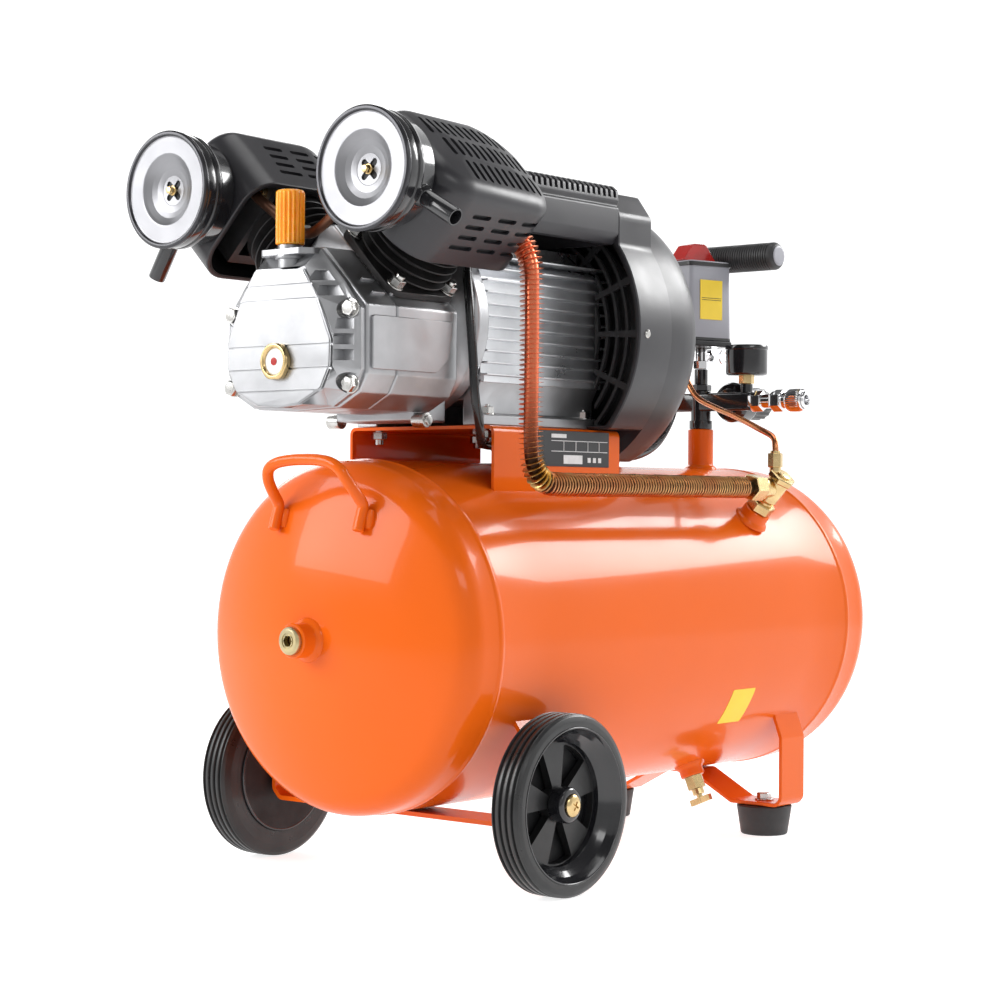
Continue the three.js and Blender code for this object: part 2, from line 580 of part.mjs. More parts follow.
for (const [name, { side, x }] of Object.entries(BANKS)) {
  const bank = new THREE.Group();
  bank.position.set(x, 0, AXIS_Z);
  bank.rotation.x = (-side * Math.PI) / 4;
  machine.add(bank);
  const local = (geometry) => geometry.translate(-x, 0, -AXIS_Z).rotateX((side * Math.PI) / 4);
  const notches = side < 0 ? [local(bent(dischargeRoute.slice(0, 6), 14, 8, 12))] : [];
  add("cylinder_" + name, IRON, cylinder(), bank);
  add("head_" + name, ALLOY, head(side), bank);
  add("head_cover_" + name, BLACK, headCover(side, notches), bank);
  add("filter_can_" + name, BLACK, filterCan(side, SPOUT_CLOCKING[name]), bank);
  add("filter_lid_" + name, GREY, filterLid(side), bank);
  add("piston_" + name, ALLOY, piston(), bank);
  add("con_rod_" + name, STEEL, conRod(), bank);
}

// ---- Pipework ---------------------------------------------------------------------------------
add("discharge_pipe", COPPER, bent(dischargeRoute, PIPE.radius, 8, 32));
add("crossover_pipe", COPPER, bent(crossoverRoute, 6, 8, 16));

const valveSeat = [VALVE.x, VALVE.y, VALVE.z];
const onValve = (geometry) => seated(geometry, VALVE.tilt, valveSeat);
const RISER = [428, -148];
add("check_valve", BRASS, carve([
  onValve(rod("z", [0, 0, 0], 8, -10, 16)),
  onValve(hexagon("z", [0, 0, 0], 24, 14 + GAP, 24)),
  onValve(rod("z", [0, 0, 0], 11, 23, 54)),
  onValve(hexagon("z", [0, 0, 0], 25, 52, 59)),
  hexagon("x", [0, PIPE.y, PIPE.low], 23, PIPE.end + GAP, 410),
  rod("x", [0, PIPE.y, PIPE.low], 10, 408, VALVE.x),
  rod("z", [...RISER, 0], 4.5, 352, 372, 16),
  hexagon("z", [...RISER, 0], 13, 370, 384),
]));
const UNDER_SWITCH = { tube: [487, 4], gland: [500, 22] };
add("unloader_tube", COPPER, bent([[...RISER, 384 + GAP], [...RISER, 390], [431, -143, 400], [437, -122, 409],
  [452, -85, 422], [468, -50, 432], [480, -20, 443], [486, -4, 458], [487, 3, 475],
  [...UNDER_SWITCH.tube, 489.7]], 3, 6, 28));

// ---- Manifold, regulator, gauge, coupler and safety valve ------------------------------------
const ARM = { out: -64, back: 34, half: 9.5 };
const GAUGE_Y = -57;
const REGULATOR_Y = -33;
const MANIFOLD_TOP = 475;

add("manifold", BLACK, carve([
  rod("z", [POST_X, 0, 0], 9.8, 392, 420),
  rod("z", [POST_X, 0, 0], 10.4, 412 + GAP, 452),
  rod("z", [POST_X, 0, 0], 7, 450, MANIFOLD_TOP),
  block([POST_X - ARM.half, POST_X + ARM.half], [ARM.out, ARM.back],
    [ARM_Z - ARM.half, ARM_Z + ARM.half]),
  hexagon("y", [POST_X, 0, ARM_Z], 20, ARM.back - 1, ARM.back + 9),
  rod("z", [POST_X, GAUGE_Y, 0], 6.5, ARM_Z, 458),
  rod("x", [0, REGULATOR_Y, ARM_Z], 21, POST_X + 2, POST_X + 31, 28),
], [rod("z", [POST_X, 0, 0], 5, 380, 480),
  rod("z", [POST_X, GAUGE_Y, 0], 4.4, ARM_Z + 5, 460),
  rod("y", [POST_X, 0, ARM_Z], 5, ARM.out - 2, -3)]));

const knobRim = Array.from({ length: 8 }, (_, i) => {
  const angle = (2 * Math.PI * i) / 8;
  return rod("x", [0, REGULATOR_Y + 17.5 * Math.cos(angle), ARM_Z + 17.5 * Math.sin(angle)], 2.2,
    POST_X + 36, POST_X + 62, 4);
});
add("regulator_knob", BLACK, carve(
  [turned("x", [0, REGULATOR_Y, ARM_Z], [[0, POST_X + 31 + GAP], [13, POST_X + 31 + GAP],
    [17, POST_X + 36], [17, POST_X + 61], [15, POST_X + 63], [0, POST_X + 63]], 24)], knobRim));

add("gauge_case", BLACK, carve([
  rod("z", [POST_X, GAUGE_Y, 0], 4, ARM_Z + 7, 462, 16),
  hexagon("z", [POST_X, GAUGE_Y, 0], 14, 458 + GAP, 468),
  turned("z", [POST_X, GAUGE_Y, 0], [[0, 467], [20.5, 467], [21.5, 469], [21.5, 497],
    [19.5, 498], [19, 492], [0, 492]]),
]));
add("gauge_needle", RED, carve([
  rod("z", [POST_X, GAUGE_Y, 0], 3, 492 + GAP, 494.5, 12),
  block([POST_X - 15.5, POST_X + 5], [GAUGE_Y - 0.7, GAUGE_Y + 0.7], [493, 494]),
]));

const armAxis = [POST_X, 0, ARM_Z];
add("coupler_body", CHROME, carve([
  hexagon("y", armAxis, 19, -78, ARM.out - GAP), rod("y", armAxis, 7.5, -92, -77),
  hexagon("y", armAxis, 20, -102, -90), rod("y", armAxis, 8.6, -129, -101),
], [rod("y", armAxis, 5, -130, -66)]));
add("coupler_sleeve", CHROME, turned("y", armAxis, [[9, -109], [9, -128], [10.6, -128],
  [11.6, -126], [11.6, -110], [11, -109]], 20));

const SAFETY_Z = 490;
add("safety_valve", CHROME, carve([
  hexagon("z", [POST_X, 0, 0], 14, MANIFOLD_TOP + GAP, 484),
  rod("z", [POST_X, 0, 0], 6.2, 482, 497, 20),
  rod("x", [0, 0, SAFETY_Z], 4.5, POST_X, POST_X + 12, 16),
  hexagon("x", [0, 0, SAFETY_Z], 12, POST_X + 11, POST_X + 26),
], [rod("x", [0, 0, SAFETY_Z], 2.4, POST_X + 16, POST_X + 30, 16)]));
add("safety_pull", CHROME, carve([
  rod("x", [0, 0, SAFETY_Z], 1.9, POST_X + 18, POST_X + 34, 12),
  ring("y", [POST_X + 41, 0, SAFETY_Z], 6, 8, -1, 1, 20),
]));

// ---- Pressure switch ---------------------------------------------------------------------------
const switchGroup = new THREE.Group();
switchGroup.position.set(SWITCH.x, SWITCH.y, 0);
switchGroup.rotation.z = THREE.MathUtils.degToRad(SWITCH.turn);
machine.add(switchGroup);
const turnBack = THREE.MathUtils.degToRad(-SWITCH.turn);
const underSwitch = ([x, y], radius, from, to, segments) =>
  rod("z", [x - SWITCH.x, y - SWITCH.y, 0], radius, from, to, segments).rotateZ(turnBack);

add("switch_base", BLACK, carve([
  softBox(roundedShape(-30, -32, 30, 32, 4), 497 + GAP, SWITCH.low + 3),
  block([-20, 20], [-22, 22], [SWITCH.low + 2, 545]),
  underSwitch(UNDER_SWITCH.tube, 5, 490, 500, 12),
  underSwitch(UNDER_SWITCH.gland, 8, 487, 500, 20),
], [underSwitch(UNDER_SWITCH.gland, 4.4, 480, 499, 12)]), switchGroup);

function switchCover() {
  const skin = softBox(roundedShape(-28.5, -31, 28.5, 31, 5), SWITCH.low + 3 + GAP, SWITCH.high, 2);
  const room = block([-25, 25], [-27, 27], [SWITCH.low, SWITCH.high - 3]);
  const floor = block([-40, 40], [-40, 40], [SWITCH.low, SWITCH.low + 6]);
  const foot = softBox(roundedShape(-28.5, -31, 28.5, 31, 5), SWITCH.low + 3 + GAP,
    SWITCH.low + 10);
  return carve([geometryOf(solid(skin).subtract(solid(floor))), foot],
    [room, rod("z", [0, 0, 0], 6, 570, 600)]);
}
add("switch_cover", GREY, switchCover(), switchGroup);

const knobBase = SWITCH.high + 1.5;
const knobSection = [[-22, knobBase], [22, knobBase], [20, knobBase + 2.5], [9, knobBase + 17],
  [-9, knobBase + 17], [-20, knobBase + 2.5]];
add("switch_knob", RED, carve([
  new THREE.ExtrudeGeometry(outlineOf(knobSection), { depth: 24, bevelEnabled: false })
    .rotateX(Math.PI / 2).translate(0, 12, 0),
  rod("z", [0, 0, 0], 5.4, 550, knobBase + 1, 16),
]), switchGroup);

// ---- Push handle -------------------------------------------------------------------------------
// One bent tube: a leg that leans back from the tank and a bar across the centre line.
add("push_handle", ORANGE, carve([
  bent([[PUSH.foot, PUSH.leg, 346], [PUSH.x - 38, PUSH.leg, 530], [PUSH.x - 17, PUSH.leg, 566],
    [PUSH.x - 5, PUSH.leg - 4, 585], [PUSH.x, PUSH.leg - 14, PUSH.z - 1], [PUSH.x, 32, PUSH.z]],
    PUSH.radius, 12, 12),
  rod("y", [PUSH.x, 0, PUSH.z], PUSH.radius, PUSH.end, 36),
], [envelope()]));
const gripBore = PUSH.radius + GAP;
add("grip", RUBBER, turned("y", [PUSH.x, 0, PUSH.z], [[0, PUSH.end - GAP],
  [gripBore, PUSH.end - GAP], [gripBore, 31], [14.5, 31], [14.5, PUSH.end - 3],
  [12, PUSH.end - 6.5], [0, PUSH.end - 6.5]]));

// ---- Motor cable -------------------------------------------------------------------------------
add("motor_cable", RUBBER, bent([[88, -62, 600], [82, -64, 580], [66, -69, 558], [46, -75, 540],
  [34, -88, 505], [32, -94, 460], [34, -95, 425], [46, -90, 401], [64, -77, 388], [86, -64, 385],
  [150, -46, 384], [256, -40, 381], [315, -38, 379], [365, -28, 382], [413, -16, 395],
  [453, -4, 420], [482, 10, 445], [497, 20, 468], [...UNDER_SWITCH.gland, 486.7]], 4, 6, 40));

export default model;
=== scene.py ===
"""Looks for the twin-cylinder air compressor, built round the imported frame.

Shapes are made in millimetres in the machine's own frame (X = 0 at the tank's front seam)
and moved to the row's frame, in metres, when a piece is created.
"""
import math

import bmesh
import bpy
from mathutils import Matrix, Vector


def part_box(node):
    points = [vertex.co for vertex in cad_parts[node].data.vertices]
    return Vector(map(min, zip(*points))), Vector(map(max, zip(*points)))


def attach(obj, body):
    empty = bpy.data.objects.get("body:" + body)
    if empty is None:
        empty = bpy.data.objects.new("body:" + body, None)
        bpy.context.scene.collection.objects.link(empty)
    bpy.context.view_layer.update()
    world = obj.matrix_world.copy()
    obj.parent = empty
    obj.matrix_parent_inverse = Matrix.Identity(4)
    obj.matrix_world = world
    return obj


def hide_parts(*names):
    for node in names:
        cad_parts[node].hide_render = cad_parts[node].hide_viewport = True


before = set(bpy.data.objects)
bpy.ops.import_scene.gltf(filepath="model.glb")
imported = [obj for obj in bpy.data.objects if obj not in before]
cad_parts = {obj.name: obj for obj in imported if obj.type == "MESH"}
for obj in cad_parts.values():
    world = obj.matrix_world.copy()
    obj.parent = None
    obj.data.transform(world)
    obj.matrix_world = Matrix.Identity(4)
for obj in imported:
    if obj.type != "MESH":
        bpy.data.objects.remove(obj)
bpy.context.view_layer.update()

MM = 0.001
hub_low, hub_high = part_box("hub_left")
WHEEL_X = 57.5
WHEEL_CENTRE = (WHEEL_X, 0, 78)
ORIGIN_X = WHEEL_X - (hub_low.x + hub_high.x) / 2 / MM
TANK_Z = 215.5
TANK_R = 155.0
TANK_CENTRE = (0, 0, TANK_Z)
SEAMS = (0, 554)  # where the tank's shell meets its two ends
END_EDGES = (-20, 578)  # where the straight part of each end stops
END_DEPTH, KNUCKLE = 54, 28
AXIS_Z = 493.0
SHAFT = (0, 0, AXIS_Z)
POST_X = 514.0
SADDLE_BOLTS = [(x, y) for x in (85, 226) for y in (-64, 64)]
SIGHT = (0, 0, 451)
OIL_NECK = (-97, 0, 0)
FILTER_U = 156  # crank axis to a filter's axis, along its bank
GRIP_CENTRE = (548, 0, 593)


def row(x, y, z):
    return Vector(((x - ORIGIN_X) * MM, y * MM, z * MM))


# ---- Camera -------------------------------------------------------------------------------------
def make_camera():
    yaw, pitch, roll = math.radians(39.603), 0.0006, 0.0067
    forward = Vector((math.cos(yaw) * math.cos(pitch), math.sin(yaw) * math.cos(pitch),
                      math.sin(pitch)))
    right = forward.cross(Vector((0, 0, 1))).normalized()
    up = right.cross(forward)
    right_r = math.cos(roll) * right + math.sin(roll) * up
    up_r = -math.sin(roll) * right + math.cos(roll) * up
    data = bpy.data.cameras.new("camera")
    data.lens = 81.6
    data.sensor_width = 36.0
    data.clip_start = 0.05
    data.clip_end = 60
    camera = bpy.data.objects.new("camera", data)
    turn = Matrix((right_r, up_r, -forward)).transposed().to_4x4()
    camera.matrix_world = Matrix.Translation(row(-1458.39, -1358.37, 334.87)) @ turn
    bpy.context.scene.collection.objects.link(camera)
    bpy.context.scene.camera = camera


make_camera()
bpy.context.scene.view_settings.view_transform = "Standard"


# ---- Materials ----------------------------------------------------------------------------------
class Surface:
    """A Principled material with its own procedural colour, roughness and bump."""

    def __init__(self, name, color, rough, metal=0.0):
        self.mat = bpy.data.materials.new(name)
        self.mat.use_nodes = True
        self.tree = self.mat.node_tree
        self.shader = self.tree.nodes["Principled BSDF"]
        self.shader.inputs["Metallic"].default_value = metal
        self.shader.inputs["Base Color"].default_value = (*color, 1)
        self.shader.inputs["Roughness"].default_value = rough
        self.color, self.rough = color, rough
        self.where = self.tree.nodes.new("ShaderNodeTexCoord").outputs["Object"]
        self.height = None

    def node(self, kind, **inputs):
        made = self.tree.nodes.new("ShaderNode" + kind)
        for key, value in inputs.items():
            key = key.replace("_", " ")
            if isinstance(value, bpy.types.NodeSocket):
                self.tree.links.new(value, made.inputs[key])
            else:
                made.inputs[key].default_value = value
        return made

    def stretched(self, scale):
        mapping = self.node("Mapping", Vector=self.where)
        mapping.inputs["Scale"].default_value = scale
        return mapping.outputs["Vector"]

    def noise(self, scale, detail=4.0, roughness=0.55, stretch=None):
        place = self.stretched(stretch) if stretch else self.where
        return self.node("TexNoise", Vector=place, Scale=scale, Detail=detail,
                         Roughness=roughness).outputs["Fac"]

    def ramp(self, value, low, high, start=0.35, end=0.65):
        made = self.tree.nodes.new("ShaderNodeMapRange")
        self.tree.links.new(value, made.inputs["Value"])
        made.inputs["From Min"].default_value = start
        made.inputs["From Max"].default_value = end
        made.inputs["To Min"].default_value = low
        made.inputs["To Max"].default_value = high
        return made.outputs["Result"]

    def vary_color(self, amount, scale, other=None, stretch=None, start=0.35, end=0.65):
        other = other or tuple(c * (1 - amount) for c in self.color)
        mix = self.tree.nodes.new("ShaderNodeMix")
        mix.data_type = "RGBA"
        factor = self.ramp(self.noise(scale, stretch=stretch), 0, 1, start, end)
        self.tree.links.new(factor, mix.inputs["Factor"])
        mix.inputs[6].default_value = (*self.color, 1)
        mix.inputs[7].default_value = (*other, 1)
        self.tree.links.new(mix.outputs[2], self.shader.inputs["Base Color"])
        return self

    def fade_up(self, low, high, under):
        """Blends from another colour below one height to this one above another."""
        split = self.tree.nodes.new("ShaderNodeSeparateXYZ")
        self.tree.links.new(self.where, split.inputs["Vector"])
        mix = self.tree.nodes.new("ShaderNodeMix")
        mix.data_type = "RGBA"
        factor = self.ramp(split.outputs["Z"], 0, 1, low, high)
        self.tree.links.new(factor, mix.inputs["Factor"])
        mix.inputs[6].default_value = (*under, 1)
        mix.inputs[7].default_value = (*self.color, 1)
        self.tree.links.new(mix.outputs[2], self.shader.inputs["Base Color"])
        return self

    def paint_light_falloff(self, direction, near, far, rest, strength):
        """Paints a falloff of light on the paper: its glow and colour drop to a part of themselves along
        one direction.
        """
        along = self.tree.nodes.new("ShaderNodeVectorMath")
        along.operation = "DOT_PRODUCT"
        self.tree.links.new(self.where, along.inputs[0])
        along.inputs[1].default_value = direction
        fall = self.ramp(along.outputs["Value"], 0, 1, near, far)
        mix = self.tree.nodes.new("ShaderNodeMix")
        mix.data_type = "RGBA"
        self.tree.links.new(fall, mix.inputs["Factor"])
        mix.inputs[6].default_value = (*self.color, 1)
        mix.inputs[7].default_value = (*(c * rest for c in self.color), 1)
        self.tree.links.new(mix.outputs[2], self.shader.inputs["Base Color"])
        glow = self.ramp(fall, strength, strength * rest, 0, 1)
        self.tree.links.new(glow, self.shader.inputs["Emission Strength"])
        return self

    def vary_rough(self, amount, scale, stretch=None):
        value = self.ramp(self.noise(scale, stretch=stretch), max(0.02, self.rough - amount),
                          self.rough + amount, 0.3, 0.7)
        self.tree.links.new(value, self.shader.inputs["Roughness"])
        return self

    def bump(self, strength, scale, distance=0.0002, stretch=None, detail=3.0):
        made = self.tree.nodes.new("ShaderNodeBump")
        made.inputs["Strength"].default_value = strength
        made.inputs["Distance"].default_value = distance
        self.tree.links.new(self.noise(scale, detail, stretch=stretch), made.inputs["Height"])
        if self.height:
            self.tree.links.new(self.height, made.inputs["Normal"])
        self.height = made.outputs["Normal"]
        self.tree.links.new(self.height, self.shader.inputs["Normal"])
        return self

    def set(self, **values):
        for key, value in values.items():
            self.shader.inputs[key.replace("_", " ")].default_value = value
        return self


def make_materials():
    m = {}
    m["orange"] = (Surface("orange_powder_coat", (0.78, 0.122, 0.006), 0.2)
                   .vary_color(0.08, 2.5).vary_rough(0.05, 14)
                   .bump(0.05, 260, 0.0004).bump(0.03, 30, 0.002)
                   .set(Coat_Weight=0.22, Coat_Roughness=0.03, Specular_IOR_Level=0.12)).mat
    m["gloss_black"] = (Surface("black_enamel", (0.012, 0.012, 0.014), 0.16)
                        .vary_rough(0.05, 30).bump(0.03, 400, 0.0003)
                        .set(Coat_Weight=0.5, Coat_Roughness=0.08)).mat
    m["hub_black"] = (Surface("satin_black_nylon", (0.009, 0.009, 0.0095), 0.36)
                      .vary_color(0.3, 20, (0.014, 0.014, 0.0145)).vary_rough(0.07, 30)
                      .bump(0.15, 900, 0.0001)).mat
    m["charcoal"] = (Surface("moulded_charcoal", (0.021, 0.0205, 0.024), 0.36)
                     .vary_color(0.25, 9, (0.028, 0.027, 0.031)).vary_rough(0.06, 22)
                     .bump(0.22, 1500, 0.00008).bump(0.08, 60, 0.0006)).mat
    m["grille"] = (Surface("grille_plastic", (0.012, 0.012, 0.013), 0.5)
                   .vary_rough(0.1, 60).bump(0.15, 900, 0.0001)).mat
    m["rubber"] = (Surface("black_rubber", (0.018, 0.018, 0.019), 0.55)
                   .vary_color(0.3, 35, (0.03, 0.03, 0.031)).vary_rough(0.12, 50)
                   .bump(0.3, 1100, 0.0001)).mat
    m["tyre"] = (Surface("tyre_rubber", (0.011, 0.011, 0.012), 0.34)
                 .vary_color(0.3, 40, (0.019, 0.019, 0.019)).vary_rough(0.08, 60)
                 .bump(0.25, 900, 0.00012)).mat
    m["cable"] = (Surface("cable_sheath", (0.012, 0.012, 0.013), 0.25)
                  .vary_rough(0.08, 80).bump(0.08, 300, 0.0002)).mat
    m["alloy"] = (Surface("cast_alloy", (0.45, 0.453, 0.465), 0.37, 0.92)
                  .vary_color(0.2, 18, (0.36, 0.363, 0.374)).vary_rough(0.08, 45)
                  .bump(0.25, 1400, 0.00012).bump(0.1, 90, 0.0004)).mat
    m["motor_alloy"] = (Surface("finned_alloy", (0.74, 0.75, 0.77), 0.33, 0.9)
                        .vary_color(0.14, 25, (0.62, 0.63, 0.65)).vary_rough(0.07, 30)
                        .bump(0.15, 900, 0.0001, (0.15, 1, 1))).mat
    m["iron"] = (Surface("black_cast_iron", (0.018, 0.017, 0.018), 0.42, 0.3)
                 .vary_color(0.4, 30, (0.035, 0.032, 0.032)).vary_rough(0.1, 40)
                 .bump(0.35, 700, 0.0002)).mat
    m["steel"] = (Surface("machined_steel", (0.56, 0.55, 0.53), 0.3, 1.0)
                  .vary_color(0.25, 60, (0.42, 0.41, 0.39)).vary_rough(0.1, 120)
                  .bump(0.08, 500, 0.0001)).mat
    m["zinc"] = (Surface("zinc_plate", (0.56, 0.555, 0.54), 0.25, 1.0)
                 .vary_color(0.2, 80, (0.45, 0.44, 0.42)).vary_rough(0.08, 90)
                 .bump(0.06, 400, 0.0001)).mat
    m["chrome"] = (Surface("bright_chrome", (0.8, 0.8, 0.81), 0.08, 1.0)
                   .vary_rough(0.03, 60).bump(0.02, 200, 0.0002)).mat
    m["brass"] = (Surface("turned_brass", (0.72, 0.54, 0.27), 0.24, 1.0)
                  .vary_color(0.2, 70, (0.58, 0.42, 0.2)).vary_rough(0.07, 90)
                  .bump(0.06, 500, 0.0001)).mat
    m["old_brass"] = (Surface("dull_brass", (0.62, 0.5, 0.26), 0.34, 1.0)
                      .vary_color(0.3, 60, (0.42, 0.36, 0.22)).vary_rough(0.1, 70)
                      .bump(0.12, 500, 0.00015)).mat
    m["copper"] = (Surface("drawn_copper", (0.72, 0.22, 0.1), 0.25, 1.0)
                   .vary_color(0.3, 40, (0.55, 0.24, 0.1)).vary_rough(0.08, 80)
                   .bump(0.05, 300, 0.0001)).mat
    m["fin_copper"] = (Surface("finned_copper", (0.85, 0.34, 0.2), 0.3, 1.0)
                       .fade_up(0.36, 0.41, (0.6, 0.42, 0.16)).vary_rough(0.1, 60)
                       .bump(0.1, 700, 0.0001)).mat
    m["coil_brass"] = (Surface("wound_bronze", (0.62, 0.4, 0.18), 0.3, 1.0)
                       .vary_color(0.3, 22, (0.6, 0.26, 0.12)).vary_rough(0.1, 60)
                       .bump(0.1, 700, 0.0001)).mat
    # Near-black inner band of the coil fin: painted shade standing in for the dark gaps between the
    # turns.
    m["coil_root"] = (Surface("painted_coil_root_shade", (0.02, 0.009, 0.005), 0.6, 0.2)
                      .vary_color(0.3, 22, (0.1, 0.035, 0.015)).vary_rough(0.1, 60)
                      .bump(0.1, 700, 0.0001)).mat
    # Copper pipe core that fades to near black below 0.37 m: painted shade between the coil's fins.
    m["core_copper"] = (Surface("pipe_core_copper_shaded_low", (0.7, 0.2, 0.1), 0.3, 1.0)
                        .fade_up(0.37, 0.44, (0.03, 0.014, 0.008)).vary_rough(0.08, 60)
                        .bump(0.08, 400, 0.0001)).mat
    m["dark_copper"] = (Surface("tarnished_copper", (0.22, 0.1, 0.06), 0.36, 0.9)
                        .vary_color(0.4, 30, (0.12, 0.07, 0.05)).vary_rough(0.1, 60)
                        .bump(0.1, 300, 0.0001)).mat
    m["dark_cast"] = (Surface("dark_casting", (0.09, 0.09, 0.095), 0.45, 0.7)
                      .vary_color(0.3, 30, (0.05, 0.05, 0.052)).vary_rough(0.1, 40)
                      .bump(0.3, 900, 0.00015)).mat
    m["lid_grey"] = (Surface("satin_lid", (0.27, 0.27, 0.283), 0.34, 0.75)
                     .vary_color(0.06, 12).vary_rough(0.04, 40)
                     .bump(0.04, 700, 0.0001)).mat
    m["lid_edge"] = (Surface("dark_lid_edge", (0.05, 0.05, 0.055), 0.18, 0.6)
                     .vary_color(0.1, 20).vary_rough(0.05, 40).bump(0.03, 500, 0.0001)).mat
    m["switch_grey"] = (Surface("switch_cover_grey", (0.31, 0.31, 0.345), 0.4)
                        .vary_color(0.1, 12).vary_rough(0.06, 40)
                        .bump(0.18, 1300, 0.00008)).mat
    m["black_plastic"] = (Surface("black_plastic", (0.014, 0.014, 0.015), 0.35)
                          .vary_rough(0.08, 50).bump(0.12, 1000, 0.0001)).mat
    m["red"] = (Surface("clear_red", (0.62, 0.02, 0.015), 0.16)
                .vary_color(0.2, 30).vary_rough(0.04, 50).bump(0.03, 300, 0.0002)
                .set(Transmission_Weight=0.35, IOR=1.49, Coat_Weight=0.4)).mat
    m["amber"] = (Surface("clear_amber", (1.0, 0.33, 0.015), 0.3)
                  .vary_color(0.2, 20, (1.0, 0.42, 0.03)).vary_rough(0.06, 60)
                  .bump(0.08, 500, 0.0001)
                  .set(Subsurface_Weight=0.5, Subsurface_Radius=(0.01, 0.004, 0.001),
                       Subsurface_Scale=0.6)).mat
    m["label_yellow"] = (Surface("blank_yellow_label", (0.85, 0.6, 0.03), 0.5)
                         .vary_color(0.05, 60).vary_rough(0.05, 80).bump(0.05, 600, 0.0001)).mat
    m["label_black"] = (Surface("blank_black_label", (0.015, 0.015, 0.017), 0.35)
                        .vary_rough(0.06, 60).bump(0.05, 600, 0.0001)).mat
    m["label_white"] = (Surface("white_print", (0.75, 0.75, 0.75), 0.45)
                        .vary_color(0.1, 200).vary_rough(0.05, 80)).mat
    m["dial_white"] = (Surface("dial_face", (0.85, 0.85, 0.83), 0.4)
                       .vary_color(0.04, 80).vary_rough(0.04, 80)).mat
    # Near-black finish for pieces put in hollows and behind openings: painted shade.
    m["dark"] = (Surface("painted_recess_shade", (0.006, 0.006, 0.007), 0.6)
                 .vary_rough(0.1, 60).bump(0.05, 300, 0.0001)).mat
    return m


MAT = make_materials()


# ---- Shape helpers: each returns (vertices, faces), in millimetres ------------------------------
def join(*shapes):
    verts, faces = [], []
    for v, f in shapes:
        start = len(verts)
        verts.extend(v)
        faces.extend([tuple(i + start for i in face) for face in f])
    return verts, faces


def moved(shape, matrix):
    return [matrix @ Vector(v) for v in shape[0]], shape[1]


def fillet(points, radius, steps=4, closed=False):
    """Rounds the corners of a polyline. radius is one number or one for each point."""
    count = len(points)
    radii = [radius] * count if isinstance(radius, (int, float)) else list(radius)
    result = []
    for i, p in enumerate(points):
        if (not closed and i in (0, count - 1)) or radii[i] <= 0:
            result.append(tuple(p))
            continue
        here = Vector(p)
        before = Vector(points[i - 1]) - here
        after = Vector(points[(i + 1) % count]) - here
        if before.length < 1e-6 or after.length < 1e-6:
            result.append(tuple(p))
            continue
        a, b = before.normalized(), after.normalized()
        angle = a.angle(b)
        if angle > math.pi - 0.02 or angle < 0.02:
            result.append(tuple(p))
            continue
        reach = min(radii[i] / math.tan(angle / 2), before.length * 0.49, after.length * 0.49)
        start, end = here + a * reach, here + b * reach
        for k in range(steps + 1):
            t = k / steps
            q = (1 - t) ** 2 * start + 2 * t * (1 - t) * here + t * t * end
            result.append(tuple(q))
    return result


AXES = {"x": ((0, 1, 0), (0, 0, 1), (1, 0, 0)), "y": ((0, 0, 1), (1, 0, 0), (0, 1, 0)),
        "z": ((1, 0, 0), (0, 1, 0), (0, 0, 1))}


def basis(axis, centre):
    e1, e2, e3 = (Vector(v) for v in AXES[axis])
    c = Vector(centre)
    return lambda a, b, h: c + e1 * a + e2 * b + e3 * h


def lathe(profile, axis="x", centre=(0, 0, 0), segments=72, start=0.0, lobes=None):
    """Revolves (radius, height) points. The profile starts and ends on the axis, or closes."""
    put = basis(axis, centre)
    closed = not (abs(profile[0][0]) < 1e-9 and abs(profile[-1][0]) < 1e-9)
    verts, rings = [], []
    for r, h in profile:
        if abs(r) < 1e-9:
            rings.append([len(verts)])
            verts.append(put(0, 0, h))
            continue
        ring = []
        for k in range(segments):
            a = start + 2 * math.pi * k / segments
            rr = r if lobes is None else lobes(r, h, a)
            ring.append(len(verts))
            verts.append(put(rr * math.cos(a), rr * math.sin(a), h))
        rings.append(ring)
    faces = []
    pairs = list(zip(rings, rings[1:])) + ([(rings[-1], rings[0])] if closed else [])
    for low, high in pairs:
        for k in range(segments):
            n = (k + 1) % segments
            if len(low) == 1 and len(high) == 1:
                continue
            if len(low) == 1:
                faces.append((low[0], high[n], high[k]))
            elif len(high) == 1:
                faces.append((low[k], low[n], high[0]))
            else:
                faces.append((low[k], low[n], high[n], high[k]))
    return verts, faces


def rod(axis, centre, radius, low, high, segments=40, edge=0.6):
    edge = min(edge, radius * 0.4, abs(high - low) * 0.4)
    profile = fillet([(0, low), (radius, low), (radius, high), (0, high)], edge, 3)
    return lathe(profile, axis, centre, segments)


def hexagon(axis, centre, flats, low, high, turn=0.0):
    radius = flats / math.sqrt(3)
    edge = flats * 0.045
    profile = [(0, low), (radius - edge, low), (radius, low + edge), (radius, high - edge),
               (radius - edge, high), (0, high)]
    return lathe(profile, axis, centre, 6, turn)


def prism(outline, low, high, axis="x", centre=(0, 0, 0)):
    put = basis(axis, centre)
    count = len(outline)
    verts = [put(a, b, low) for a, b in outline] + [put(a, b, high) for a, b in outline]
    faces = [tuple(range(count - 1, -1, -1)), tuple(range(count, 2 * count))]
    faces += [(k, (k + 1) % count, (k + 1) % count + count, k + count) for k in range(count)]
    return verts, faces


def closing_band(rings, count):
    """Faces that join the last of several rings back to the first."""
    last = (rings - 1) * count
    return [(last + k, last + (k + 1) % count, (k + 1) % count, k) for k in range(count)]


def loft(sections, cap=True):
    """Joins closed rings of equal length, given as lists of points."""
    count = len(sections[0])
    verts = [Vector(p) for ring in sections for p in ring]
    faces = []
    for s in range(len(sections) - 1):
        a, b = s * count, (s + 1) * count
        faces += [(a + k, a + (k + 1) % count, b + (k + 1) % count, b + k)
                  for k in range(count)]
    if cap:
        last = (len(sections) - 1) * count
        faces += [tuple(range(count - 1, -1, -1)), tuple(range(last, last + count))]
    return verts, faces


def cuboid(x, y, z):
    return prism([(x[0], y[0]), (x[1], y[0]), (x[1], y[1]), (x[0], y[1])], z[0], z[1], "z")


